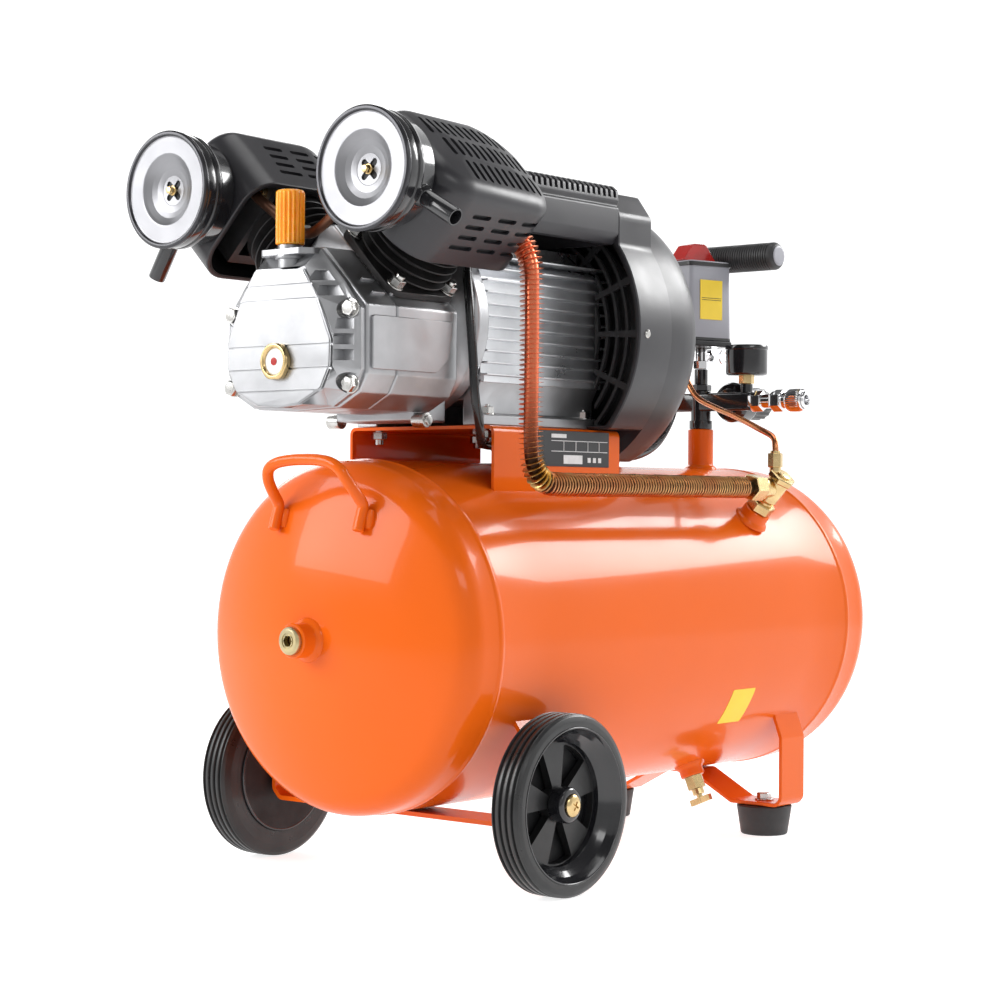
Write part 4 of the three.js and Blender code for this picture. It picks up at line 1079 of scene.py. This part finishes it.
def make_crankcase():
    front = prism(house(0), -86.7, -50)
    middle = prism(house(0, 572.0), -50, 28)
    drum = lathe([(0, 26), (57, 26), (57, 29), (70, 40), (82.5, 50), (84, 52), (84, 65.6), (0, 65.6)],
                 "x", SHAFT, 120)
    foot = cuboid((8, 52), (-46, 46), (404, 440))
    extras = []
    for side in (-1, 1):
        panel = fillet([(-82, 444), (-2, 444), (14, 456), (20, 489), (-82, 489)], 3, 3, closed=True)
        low, high = sorted((side * 79, side * 82.4))
        flat = prism(panel, low, high, "y")
        extras.append(([Vector((v.z, v.y, v.x)) for v in flat[0]], flat[1]))
        for x in (-70, -48, -26, -4):
            for y, z in ((70, 508), (58, 520)):
                bar = cuboid((x - 1.2, x + 14), (-1.1, 1.1), (-2, 2.4))
                extras.append(moved(bar, Matrix.Translation((0, side * y, z))
                                    @ Matrix.Rotation(-side * math.pi / 4, 4, "X")))
    piece("crankcase_casting", join(front, middle, foot), "alloy", stands_for=["crankcase"],
          bevel=2.0, segments=3)
    piece("crankcase_drum", drum, "alloy", stands_for=["crankcase"],
          bevel=1.0)
    piece("crankcase_ribs", join(*extras), "alloy", stands_for=["crankcase"],
          bevel=0.8)
    plug = join(rod("y", (14, 0, 405), 6.5, -58, -44), rod("y", (14, 0, 405), 4.4, -60.5, -57),
                rod("y", (14, 0, 405), 6.5, 44, 58))
    piece("crankcase_drain_boss", plug, "zinc", bevel=0.3)


def make_cover():
    face_half = [(-28.5, 529), (-38, 515), (-45.7, 502.5), (-61.2, 468), (-60.8, 446), (-50.5, 427),
                 (-24, 414.5), (0, 412.5)]
    base_half = [(-29.6, 546.5), (-44, 532.5), (-60, 516.5), (-78, 494), (-78.4, 443),
                 (-69.5, 425), (-47, 413), (0, 411)]
    sections = []
    for x, blend, shrink in ((-86.6, 0, 0.4), (-92, 0, 0), (-93.4, 0.03, 1), (-94.5, 0.14, 1.5),
                             (-108.5, 0.94, 0), (-110.3, 0.985, 0.4), (-111, 1, 1.6)):
        half = []
        for (fy, fz), (by, bz) in zip(face_half, base_half):
            y, z = by + (fy - by) * blend, bz + (fz - bz) * blend
            length = math.hypot(y, z - 470)
            half.append((y * (1 - shrink / length), 470 + (z - 470) * (1 - shrink / length)))
        sections.append([Vector((x, y, z)) for y, z in
                         fillet(mirrored(half), [0.01] + [4] * 6 + [20] + [4] * 6 + [0.01], 4,
                                closed=True)])
    body = loft(sections)
    grooves = [cuboid((-113, -109.4), (-70, 70), (z - 0.8, z + 0.8))
               for z in (529, 515, 502.5, 464, 444.5, 426)]
    louvres, pockets, bolts = [], [], []
    for side in (-1, 1):
        for z in (481, 468, 455):
            louvres.append(cuboid((-109.2, -95.5), sorted((side * 62, side * 85)),
                                  (z - 4.6, z + 4.6)))
        for z, reach in ((522, 35), (509, 43)):
            louvres.append(cuboid((-109.2, -95.5), sorted((side * reach, side * 85)),
                                  (z - 4.4, z + 4.4)))
        for z in (494, 431):
            pockets.append(rod("x", (0, side * 69.5, z), 9.6, -120, -93.2))
            bolts.append(hex_bolt("x", (0, side * 69.5, z), 12, -93.2, -100, 0.3))
    pockets.append(rod("x", SIGHT, 12.4, -120, -100))
    piece("cover_casting", body, "alloy", stands_for=["crankcase_cover"],
          bevel=0.7, cuts=[grooves, louvres[0::2], louvres[1::2], pockets])
    piece("cover_bolts", join(*bolts), "zinc")
    neck = join(rod("z", OIL_NECK, 10.5, 520, 550), rod("z", OIL_NECK, 12.6, 538, 541.6))
    flange = prism(fillet([(-22, -109), (22, -109), (31, -100), (31, -88), (-31, -88), (-31, -100)], 4,
                          4, closed=True), 541, 546, "z")
    flange = ([Vector((v.y, v.x, v.z)) for v in flange[0]], flange[1])
    piece("oil_neck", join(neck, flange), "alloy", stands_for=["crankcase_cover"],
          bevel=0.8, cuts=[[rod("z", OIL_NECK, 7, 519, 560)]])
    bezel = fillet([(11.9, -104), (11.9, -111.2), (15.6, -111.2), (15.6, -115.6), (14.6, -117),
                    (12.4, -117), (11.2, -115.4), (11, -112), (11, -104)], 0.7, 3, closed=True)
    piece("sight_bezel", lathe(bezel, "x", SIGHT, 6 * 12, lobes=lambda r, h, a: r + (
        0.5 * math.cos(6 * a) if r > 15 else 0)), "brass", stands_for=["sight_glass"],
          angle=50)
    piece("sight_lens", lathe(fillet([(0, -110), (11.2, -110), (11.2, -114.4), (0, -115.6)], 0.6, 3),
                              "x", SIGHT, 56), "dial_white", stands_for=["sight_glass"])
    piece("sight_dot", lathe([(0, -114), (3.4, -114), (3.4, -115.75), (0, -116)], "x", SIGHT, 40),
          "red", stands_for=["sight_glass"])


def make_breather():
    def fluted(r, h, a):
        if r < 11 or h < 552 or h > 594:
            return r
        return r - 0.75 + 0.75 * math.cos(18 * a)
    profile = [(0, 532), (6.4, 532), (6.6, 533), (6.6, 550.3), (11.6, 550.3), (12.3, 551),
               (12.3, 552.5), (12.3, 556), (12.3, 570), (12.3, 588), (12.3, 593), (12, 594.8),
               (11, 596.1), (9.6, 596.5), (8.8, 596.4), (8.3, 595.6), (0, 595.4)]
    piece("breather_fluted_cap", lathe(profile, "z", OIL_NECK, 180, lobes=fluted), "amber",
          "oil_cap", ["breather_cap"], angle=55)


def bank_matrix(side, x):
    return Matrix.Translation((x, 0, AXIS_Z)) @ Matrix.Rotation(-side * math.pi / 4, 4, "X")


def rounded(x0, y0, x1, y1, radii, steps=10):
    a, b, c, d = radii
    points = []
    for cx, cy, r, start in ((x0 + a, y0 + a, a, math.pi), (x1 - b, y0 + b, b, 1.5 * math.pi),
                             (x1 - c, y1 - c, c, 0), (x0 + d, y1 - d, d, 0.5 * math.pi)):
        for k in range(steps + 1):
            t = start + math.pi / 2 * k / steps
            points.append((cx + r * math.cos(t), cy + r * math.sin(t)))
    return points


def cover_shell(side, skin=3.0, gap=0.0):
    """The crowned cover over a head; gap shrinks the outer skin for the liner inside it."""
    front, rear, outer, inner, low, high, edge = -78, 70, 58, 52, 112, 194, 14
    radii = (34, 30, 46, 26) if side < 0 else (26, 46, 30, 34)
    y0, y1 = (-outer, inner) if side < 0 else (-inner, outer)

    def at(z, inset):
        ring = []
        lift = max(0.0, (z - 150) / (high - 150))
        for x, y in rounded(front + inset, y0 + inset, rear - inset, y1 - inset,
                            [max(r - inset, 1) for r in radii]):
            drop = 9 * ((x + 30) / 95) ** 2 + 4.5 * ((y - (y0 + y1) / 2) / 55) ** 2
            ring.append(Vector((x, y, z - drop * lift)))
        return ring

    def shell(base, depth):
        rings = [at(low, base + (0.8 if not base else 0)), at(low + 0.9, base),
                 at(high - edge - 22, base), at(high - edge - 11, base)]
        for k in range(9):
            t = math.pi / 2 * k / 8
            rings.append(at(high - edge + (edge - depth) * math.sin(t),
                            base + (edge - depth) * (1 - math.cos(t))))
        for inset in (20, 27, 34, 41, 47, 51.5):
            rings.append(at(high - depth, inset))
        return rings
    outside = shell(gap, gap)
    inside = shell(gap + skin, gap + skin)[::-1]
    n = len(outside[0])
    verts, faces = join(loft(outside, cap=False), loft(inside, cap=False))
    top, under = (len(outside) - 1) * n, len(outside) * n
    faces += [tuple(range(top, top + n)), tuple(range(under + n - 1, under - 1, -1))]
    faces += closing_band(len(outside) + len(inside), n)
    return verts, faces


def stadium(x0, x1, y0, y1, low, high, axis="z"):
    """A slot cutter with round ends along its longer side."""
    r = min(x1 - x0, y1 - y0) / 2 - 0.01
    return prism(rounded(x0, y0, x1, y1, (r, r, r, r), 4), low, high, axis)


def make_head_cover(name, side, x):
    bank = bank_matrix(side, x)
    top, flank, inner = [], [], []
    for index, y_mid in enumerate((-32, -4.5, 23)):
        first = (-36, -43, -50)[index]
        for k in range((10, 11, 11)[index]):
            cx = first + 9.6 * k
            yy = -y_mid * side
            top.append(stadium(cx - 2.3, cx + 2.3, yy - 11, yy + 11, 168, 200))
    for r_index, z in enumerate((131, 142, 153, 164)):
        for column, cx in enumerate((-22, 11, 42)):
            half = 11.5 if (r_index or column) else 14
            for target, y in ((flank, side * 55), (inner, -side * 49)):
                slot_cut = stadium(cx - half, cx + half, z - 2.3, z + 2.3, 0, 30, "z")
                lay = Matrix.Translation((0, y + 15, 0)) @ Matrix.Rotation(math.pi / 2, 4, "X")
                target.append(moved(slot_cut, lay))
    mouth = rod("x", (0, 2 * side, FILTER_U), 12.5, -83, -68)
    rear_slots = []
    for z in (126, 138, 150, 162):
        for cy in (-22, 14):
            slot_cut = stadium(-12 + cy, 12 + cy, z - 2.2, z + 2.2, 60, 80, "z")
            lay = Matrix(((0, 0, 1, 0), (1, 0, 0, 0), (0, 1, 0, 0), (0, 0, 0, 1)))
            rear_slots.append(moved(slot_cut, lay))
    cuts = [[moved(shape, bank) for shape in group]
            for group in ([mouth], top, flank, inner, rear_slots)]
    if side < 0:
        cuts.append([tube(DISCHARGE[:5], 13.6, 20, 3)])
    piece("head_cover_skin_" + name, moved(cover_shell(side), bank), "charcoal",
          stands_for=["head_cover_" + name], angle=30, cuts=cuts)
    # A near-black liner inside the cover, seen through its slots: painted shade in the cover's interior.
    piece("head_cover_liner_" + name, moved(cover_shell(side, 1.2, 3.4), bank), "dark",
          stands_for=["head_cover_" + name],
          cuts=cuts[:1] + cuts[5:])


SPOUT_TURN = {"left": 1.306, "right": -1.792}


def make_filter(name, side, x):
    bank = bank_matrix(side, x)
    centre = (0, 2 * side, FILTER_U)
    can = [(11.4, -82), (11.4, -79), (43.2, -79), (44, -79.8), (45, -94), (47.6, -96.2), (49.2, -98),
           (50, -100.4), (50, -103.8), (48.9, -104.6), (48.9, -106.2), (50, -107), (50, -114),
           (49.4, -114.5), (47, -114.5), (46.5, -114), (46.5, -101), (42, -98), (41, -82)]
    can = fillet(can, 0.5, 2, closed=True)
    spout = [(5.7, 42), (7.5, 42), (7.5, 83.8), (7.1, 84.8), (6.1, 84.8), (5.7, 83.8)]
    collar = fillet([(5.7, 40), (10, 42), (9.4, 45.5), (7.6, 49.5), (5.7, 49.5)], 0.8, 3,
                    closed=True)
    place = (Matrix.Translation((-88, 2 * side, FILTER_U))
             @ Matrix.Rotation(SPOUT_TURN[name], 4, "X"))
    pipe = join(moved(lathe(spout, "z", segments=56), place),
                moved(lathe(collar, "z", segments=56), place))
    piece("filter_can_shell_" + name, moved(join(lathe(can, "x", centre, 144), pipe), bank),
          "gloss_black", stands_for=["filter_can_" + name], angle=50)
    # A near-black core inside the spout: painted shade in its bore.
    dark = moved(rod("z", (0, 0, 0), 5.75, 43, 62), place)
    piece("filter_spout_core_" + name, moved(dark, bank), "dark",
          stands_for=["filter_can_" + name])
    lid = [(12.6, -107.6), (14, -107.6), (28, -113), (46, -114.6), (50.2, -114.6), (50.6, -116),
           (50.2, -118.6), (49.4, -119.5), (47.6, -119.5), (46.8, -118.8), (46.3, -117.9),
           (45.4, -117.5), (31.6, -117.5), (30.6, -117.2), (28.4, -115.6), (24, -112.9),
           (19, -111), (12.6, -109.9)]
    piece("filter_lid_plate_" + name,
          moved(lathe(fillet(lid, 1.2, 4, closed=True), "x", centre, 160), bank), "lid_grey",
          stands_for=["filter_lid_" + name], angle=50)
    cross = []
    for k in (0, 1):
        bar = prism(rounded(-10.8, -2.9, 10.8, 2.9, (2.6, 2.6, 2.6, 2.6), 4), -125, -107.6, "x")
        spin = math.pi / 4 * (1 + 2 * k) + side * math.pi / 4
        cross.append(moved(bar, Matrix.Translation(centre) @ Matrix.Rotation(spin, 4, "X")))
    middle = lathe([(0, -106), (12.9, -106), (12.9, -109.85), (8, -109.5), (0, -109.3)], "x",
                   centre, 64)
    piece("filter_lid_centre_" + name, moved(middle, bank), "lid_grey",
          stands_for=["filter_lid_" + name],
          cuts=[[moved(cross[0], bank)], [moved(cross[1], bank)]])
    rim = [(46.2, -118.4), (47.2, -119.9), (49.6, -119.9), (50.9, -118.9), (51.1, -116.4),
           (50.4, -114.4), (46.6, -114.4)]
    rim = fillet(rim, 0.7, 3, closed=True)
    piece("filter_lid_rim_" + name, moved(lathe(rim, "x", centre, 144), bank), "lid_edge",
          stands_for=["filter_lid_" + name], angle=60)
    # A near-black disc under the lid's cross-shaped openings: painted shade in the recess.
    base = moved(rod("x", centre, 12.4, -108.2, -104), bank)
    piece("filter_lid_recess_" + name, base, "dark", stands_for=["filter_lid_" + name])
    screw = join(rod("x", centre, 3.0, -116, -108), rod("x", centre, 4.4, -111.6, -109),
                 hexagon("x", centre, 6.4, -114.6, -111.2, 0.3))
    piece("filter_lid_screw_" + name, moved(screw, bank), "brass",
          stands_for=["filter_lid_" + name])


def make_cylinder(name, side, x):
    bank = bank_matrix(side, x)
    wall = [(23.8, 60.3), (38, 60.3), (38, 66.6), (31, 67.4)]
    for u in (72, 80.5, 89, 97.5):
        wall += [(31, u), (42.4, u + 0.3), (43, u + 1.1), (42.4, u + 1.9), (31, u + 2.6)]
    wall += [(31, 108.5), (39.6, 110), (40, 110.6), (40, 118), (23.8, 118)]
    barrel = lathe(wall, "z", segments=96)
    flange = prism(rounded(-42, -42, 42, 42, (12, 12, 12, 12), 6), 60.3, 66.6, "z")
    hole = rod("z", (0, 0, 0), 24, 50, 70)
    piece("cylinder_fins_" + name, moved(barrel, bank), "iron",
          stands_for=["cylinder_" + name], angle=30)
    piece("cylinder_flange_" + name, moved(flange, bank), "iron",
          stands_for=["cylinder_" + name], bevel=1.0, cuts=[[moved(hole, bank)]])
    studs = []
    for sx in (-33, 33):
        for sy in (-33, 33):
            studs += [rod("z", (sx, sy, 0), 4, 64, 78), rod("z", (sx, sy, 0), 8, 66.6, 68.2),
                      hexagon("z", (sx, sy, 0), 12, 68, 75)]
    piece("cylinder_studs_" + name, moved(join(*studs), bank), "zinc",
          stands_for=["cylinder_" + name])


# ---- Pipes ----------------------------------------------------------------------------------------
DISCHARGE = [(33.5, -116.7, 570), (40, -116.7, 570), (51, -128, 562), (53, -140, 540),
             (53, -142, 505), (53, -142, 445), (53, -142, 385), (58, -142, 363), (70, -142, 353),
             (93, -142, 350), (200, -142, 350), (300, -142, 350), (391, -142, 350)]
CROSSOVER = [(-53.5, -72.1, 604.7), (-63, -72.1, 604.7), (-72, -67, 601.2), (-75, -58, 595),
             (-75, -36, 580), (-75, -13, 566), (-75, 0, 562), (-75, 13, 566), (-75, 36, 580),
             (-75, 60, 596.4), (-73, 68, 602), (-67, 72.1, 604.7), (-61.5, 72.1, 604.7)]
UNLOADER = [(428, -148, 384.3), (428, -148, 390), (431, -143, 400), (437, -122, 409),
            (452, -85, 422), (468, -50, 432), (480, -20, 443), (486, -4, 458), (487, 3, 475),
            (487, 4, 489.7)]
CABLE = [(88, -62, 600), (82, -64, 580), (66, -69, 558), (46, -75, 540), (34, -88, 505),
         (32, -94, 460), (34, -95, 425), (46, -90, 401), (64, -77, 388), (86, -64, 385),
         (150, -46, 384), (256, -40, 381), (315, -38, 379), (365, -28, 382), (413, -16, 395),
         (453, -4, 420), (482, 10, 445), (497, 20, 468), (500, 22, 486.7)]


def make_pipes():
    # Along the low run the tube's core is painted near black, as shade between the fins.
    piece("discharge_tube", tube(DISCHARGE, 6.3, 24, 3), "core_copper",
          stands_for=["discharge_pipe"])
    route = smooth_path(DISCHARGE, 1.0)[10:-6]
    upright = [tuple(p) for p in route if p.x < 73][::6]
    level = [tuple(p) for p in route if p.x > 70][::6]
    piece("discharge_fins", helical_fin(upright, 6.0, 10.8, 4.2, 0.5, 0.3), "fin_copper",
          stands_for=["discharge_pipe"], angle=70)
    piece("discharge_coils", helical_fin(level, 9.2, 10.6, 4.0, 1.1, 1.0), "coil_brass",
          stands_for=["discharge_pipe"], angle=70)
    # The coil's inner band is near black: painted shade in the gaps between the turns.
    piece("discharge_coil_roots", helical_fin(level, 6.0, 9.6, 4.0, 0.5, 0.4), "coil_root",
          stands_for=["discharge_pipe"], angle=70)
    piece("crossover_tube", tube(CROSSOVER, 4.6, 28, 2.5), "dark_copper",
          stands_for=["crossover_pipe"])
    nuts = [rod("x", (0, y, 604.7), 8.4, -66.5, -55) for y in (-72.1, 72.1)]
    piece("crossover_ferrules", join(*nuts), "brass", bevel=0.5)
    piece("unloader_line", tube(UNLOADER, 3, 20, 2.5), "copper",
          stands_for=["unloader_tube"])
    piece("motor_lead", tube(CABLE, 4, 24, 4), "cable", stands_for=["motor_cable"])
    gland = lathe(fillet([(0, 590), (6, 590), (7, 580), (7, 573), (0, 573)], 0.6, 2), "z",
                  (86, -63, 0), 32)
    piece("cable_gland", gland, "black_plastic")


def on_valve(shape):
    return seated(shape, VALVE_TILT, VALVE_SEAT)


def make_check_valve():
    base = (0, 0, 0)
    body = [on_valve(rod("z", base, 8, -10, 16)), on_valve(hexagon("z", base, 24, 14.3, 24, 0.2)),
            on_valve(lathe(fillet([(0, 23), (9.6, 23), (9.6, 27), (11, 29.5), (11, 50), (10, 54),
                                   (0, 54)], 1.2, 3), "z", base, 56)),
            on_valve(hexagon("z", base, 25, 52, 58.6, 0.4)),
            on_valve(rod("z", base, 7.5, 58, 60.4))]
    centre = (0, -142, 350)
    body += [hexagon("x", centre, 23, 391.3, 410, 0.26), rod("x", centre, 10, 409, 433),
             lathe([(0, 410), (11.2, 410), (11.2, 413), (0, 413)], "x", centre, 48)]
    riser = (428, -148, 0)
    body += [rod("z", riser, 4.5, 352, 372), hexagon("z", riser, 13, 370, 384, 0.3),
             rod("z", riser, 5.6, 365, 370.6), rod("z", riser, 4.8, 383.6, 386.4)]
    piece("check_valve_brass", join(*body), "brass", stands_for=["check_valve"],
          bevel=0.3)


# ---- Manifold -------------------------------------------------------------------------------------
ARM_Z = 440.0
REGULATOR = (0, -33, ARM_Z)
GAUGE = (POST_X, -57, 0)
ARM = (POST_X, 0, ARM_Z)


def make_manifold():
    post = (POST_X, 0, 0)
    section = rounded(-9.5, -9.5, 9.5, 9.5, (2.5, 2.5, 2.5, 2.5), 4)
    arm = loft([[Vector((POST_X + a, y, ARM_Z + b)) for a, b in section] for y in (-64, 34)])
    parts = [arm, rod("z", post, 10.4, 412.3, 452), rod("z", post, 12, 412.3, 421),
             rod("z", post, 9.8, 392, 420), rod("z", post, 7, 450, 475),
             hexagon("z", post, 19, 452, 459, 0.2),
             hexagon("y", ARM, 20, 33, 43), rod("z", GAUGE, 6.5, ARM_Z, 458),
             lathe(fillet([(0, 516), (14, 516), (19, 519), (21, 523), (21, 541), (19.6, 545),
                           (0, 545)], 1, 3), "x", REGULATOR, 72)]
    piece("manifold_block", join(*parts), "gloss_black", stands_for=["manifold"],
          bevel=0.5)

    def grips(r, h, a):
        if r < 16 or h < 549.5 or h > 575.5:
            return r
        return r - 0.9 + 0.9 * max(-0.6, math.cos(16 * a))
    knob = [(0, 545.3), (13, 545.3), (13.6, 546), (14.4, 548.4), (17, 549.4), (17.1, 551),
            (17.1, 560), (17.1, 574), (16.9, 575.4), (15.4, 577), (9, 577), (8.4, 576.2), (0, 576.2)]
    piece("regulator_grip_knob", lathe(knob, "x", REGULATOR, 128, lobes=grips), "black_plastic",
          "regulator", ["regulator_knob"], angle=50)

    case = [(0, 467), (19.6, 467), (21, 467.9), (21.5, 469.4), (21.5, 493), (22.2, 493.6),
            (22.2, 496.6), (21.4, 498), (19.8, 498), (19.2, 497.2), (19, 491.6), (0, 491.6)]
    piece("gauge_drum", lathe(case, "z", GAUGE, 96), "gloss_black",
          stands_for=["gauge_case"], angle=40)
    piece("gauge_stem", join(hexagon("z", GAUGE, 14, 458.3, 468, 0.2), rod("z", GAUGE, 4, 447, 462)),
          "brass", stands_for=["gauge_case"], bevel=0.2)
    piece("gauge_dial", lathe([(0, 491.2), (18.9, 491.2), (18.9, 491.9), (0, 491.9)], "z", GAUGE, 72),
          "dial_white", stands_for=["gauge_case"])
    marks = []
    for k in range(31):
        a = math.radians(180 - 9 * k)
        inner = 13.4 if k % 5 == 0 else 15.4
        width = 0.45 if k % 5 == 0 else 0.25
        bar = cuboid((inner, 17.6), (-width, width), (491.8, 492.02))
        marks.append(moved(bar, Matrix.Translation(GAUGE) @ Matrix.Rotation(a, 4, "Z")))
    piece("gauge_marks", join(*marks), "label_black", stands_for=["gauge_case"])
    tip = [(-15.2, 0.0), (-12, -0.5), (4.8, -1.1), (5.4, 0), (4.8, 1.1), (-12, 0.5)]
    needle = moved(prism(tip, 493.0, 493.8, "z"), Matrix.Translation(GAUGE))
    piece("gauge_pointer", join(needle, rod("z", GAUGE, 2.6, 492.3, 494.5)), "red", "pointer",
          ["gauge_needle"], bevel=0.1)

    coupler = [(5, -66), (5, -130), (7.2, -130), (8.4, -128.6), (8.6, -126), (8.6, -104), (8, -101),
               (7.5, -99), (7.5, -77), (7, -66)]
    piece("coupler_core", join(lathe(fillet(coupler, 0.5, 2, closed=True), "y", ARM, 64),
                               lathe([(5, -78), (10.4, -78), (10.9, -77), (10.9, -65.2),
                                      (10.4, -64.3), (5, -64.3)], "y", ARM, 6),
                               lathe([(5, -102), (11, -102), (11.5, -101), (11.5, -91),
                                      (11, -90), (5, -90)], "y", ARM, 6)), "chrome",
          stands_for=["coupler_body"], bevel=0.25)

    def knurl(r, h, a):
        if r < 11.3 or not (-125 < h < -112):
            return r
        return r - 0.3 + 0.3 * math.cos(36 * a)
    sleeve = [(9, -109.2), (9, -127.6), (9.6, -128), (10.6, -128), (11.5, -126.6), (11.6, -125.5),
              (11.6, -124.8), (11.6, -121), (11.6, -116), (11.6, -112.2), (11.5, -111), (11, -109.4),
              (10.6, -109)]
    piece("coupler_collar", lathe(sleeve, "y", ARM, 144, lobes=knurl), "chrome", "quick_sleeve",
          ["coupler_sleeve"], angle=50)

    z = 490
    shaft = (0, 0, z)
    valve = [hexagon("z", post, 14, 475.3, 484, 0.3), rod("z", post, 6.2, 482, 497),
             lathe([(2.4, 514), (4.5, 514), (4.5, 526), (2.4, 526)], "x", shaft, 40),
             lathe([(2.4, 525), (6.5, 525), (6.9, 526), (6.9, 539), (6.5, 540), (2.4, 540)], "x",
                   shaft, 6)]
    piece("safety_valve_brass", join(*valve), "chrome", stands_for=["safety_valve"],
          bevel=0.25)
    around, sides = 40, 12
    rings = []
    for t in (2 * math.pi * k / around for k in range(around)):
        middle = Vector((555 + 7 * math.cos(t), 0, z + 7 * math.sin(t)))
        out = Vector((math.cos(t), 0, math.sin(t)))
        rings.append([middle + out * math.cos(b) + Vector((0, 1, 0)) * math.sin(b)
                      for b in (2 * math.pi * j / sides for j in range(sides))])
    verts, faces = loft(rings, cap=False)
    faces += closing_band(around, sides)
    piece("safety_ring", join((verts, faces), rod("x", shaft, 1.9, 532, 548.4)), "chrome",
          "relief_pull", ["safety_pull"])


# ---- Switch, handle and grip ------------------------------------------------------------------------
def make_switch():
    turn = Matrix.Translation((502, 4, 0)) @ Matrix.Rotation(math.radians(-15), 4, "Z")

    def box_ring(z, hx, hy, r):
        return [Vector((x, y, z)) for x, y in rounded(-hx, -hy, hx, hy, (r, r, r, r), 6)]
    base = loft([box_ring(497.3, 29, 31, 4), box_ring(498.2, 30, 32, 5), box_ring(502.2, 30, 32, 5),
                 box_ring(503, 29.4, 31.4, 4.6)])
    glands = [rod("z", (487, 4, 0), 5, 489, 500), hexagon("z", (487, 4, 0), 11, 492, 497.6, 0.2),
              rod("z", (500, 22, 0), 8, 487, 500), hexagon("z", (500, 22, 0), 17, 490.5, 495, 0.1)]
    piece("switch_tray", join(moved(base, turn), *glands), "black_plastic",
          stands_for=["switch_base"], bevel=0.4)
    cover = loft([box_ring(503.3, 28.5, 31, 5), box_ring(504, 28.5, 31, 5),
                  box_ring(584.2, 27.6, 30.2, 5), box_ring(585.5, 27, 29.6, 4.5),
                  box_ring(586, 26, 28.6, 4)])
    piece("switch_hood", moved(cover, turn), "switch_grey", stands_for=["switch_cover"],
          angle=35)
    rims = [loft([box_ring(a, 28.9, 31.4, 5), box_ring(b, 28.7, 31.2, 5)])
            for a, b in ((503.3, 506.5), (580.5, 584.6))]
    piece("switch_rims", moved(join(*rims), turn), "black_plastic", stands_for=["switch_cover"],
          bevel=0.4)
    panel = cuboid((-15, 15), (-31.25, -30.6), (525, 566))
    piece("switch_blank_label", moved(panel, turn), "label_yellow",
          bevel=0.2)
    lines = [cuboid((-13, 13), (-31.45, -31.15), (z, z + 0.5)) for z in (545, 547)]
    piece("switch_label_rules", moved(join(*lines), turn), "label_black")
    knob = [(-22, 587.5), (22, 587.5), (20, 590), (9, 604.5), (-9, 604.5), (-20, 590)]
    knob = fillet(knob, 1.5, 4, closed=True)
    put = [[Vector((a, y, z)) for a, z in knob] for y in (-12, 12)]
    ridges = [cuboid((x - 0.7, x + 0.7), (-12.3, 12.3), (604.2, 605.2)) for x in (-6, -3, 0, 3, 6)]
    piece("switch_pull_knob", moved(loft(put), turn), "red", "switch_button",
          ["switch_knob"], bevel=1.0)
    piece("switch_knob_ridges", moved(join(*ridges), turn), "red", "switch_button",
          ["switch_knob"], bevel=0.2)
    piece("switch_knob_stem", moved(rod("z", (0, 0, 0), 5.4, 551, 588.5), turn), "black_plastic",
          "switch_button", ["switch_knob"])


def make_handle():
    leg = [(408, 54, 346), (510, 54, 530), (531, 54, 566), (543, 50, 585), (548, 40, 592),
           (548, 32, 593)]
    bar = rod("y", GRIP_CENTRE, 11, -67, 36, 56)
    foot = lathe([(0, -2), (16, 0), (15.6, 2), (13.4, 5), (11.3, 7.5), (0, 8)], "z", segments=48)
    lean = Vector((102, 0, 184)).to_track_quat("Z", "Y").to_matrix().to_4x4()
    pad = moved(foot, Matrix.Translation((411, 54, 354)) @ lean)
    piece("push_tube", join(tube(leg, 11, 48, 4), bar, pad), "orange",
          stands_for=["push_handle"])
    profile = [(0, -73.5), (10, -73.5), (12.6, -72.2), (14.2, -70)]
    y = -68.0
    while y < 24:
        profile += [(14.5, y), (14.5, y + 1.3), (13.5, y + 1.7), (13.5, y + 2.5)]
        y += 2.9
    profile += [(14.5, 25), (15.2, 26), (15.2, 30.2), (14.6, 31), (11.3, 31), (11.3, -67.3),
                (0, -67.3)]
    piece("grip_sleeve", lathe(profile, "y", GRIP_CENTRE, 96), "rubber", stands_for=["grip"],
          angle=50)
    cap = fillet([(0, -73.3), (10.4, -73.3), (10.4, -74.1), (8.5, -74.5), (0, -74.6)], 0.3, 2)
    piece("grip_end_plug", lathe(cap, "y", GRIP_CENTRE, 56), "switch_grey")


def make_fan_disc():
    disc = fillet([(27, 263.4), (103, 263.4), (104, 264.4), (104, 265.6), (27, 265.6)], 0.4, 2,
                  closed=True)
    piece("fan_disc", lathe(disc, "x", SHAFT, 96), "grille", "drive")


make_fan_disc()
make_crankcase()
make_cover()
make_breather()
for bank_name, bank_side, bank_x in (("left", -1, -10), ("right", 1, -18)):
    make_head_cover(bank_name, bank_side, bank_x)
    make_filter(bank_name, bank_side, bank_x)
    make_cylinder(bank_name, bank_side, bank_x)
make_pipes()
make_check_valve()
make_manifold()
make_switch()
make_handle()

for node, material, edge in (
        ("drain_valve", "brass", 0.4), ("drain_tap", "brass", 0.5), ("stator_core", "copper", 0.5),
        ("crankshaft", "steel", 0.4), ("rotor", "steel", 0.4), ("fan", "charcoal", 0.6),
        ("head_left", "dark_cast", 0.9), ("head_right", "dark_cast", 0.9), ("piston_left", "alloy", 0.4),
        ("piston_right", "alloy", 0.4), ("con_rod_left", "steel", 0.4),
        ("con_rod_right", "steel", 0.4)):
    dress(node, material, edge)
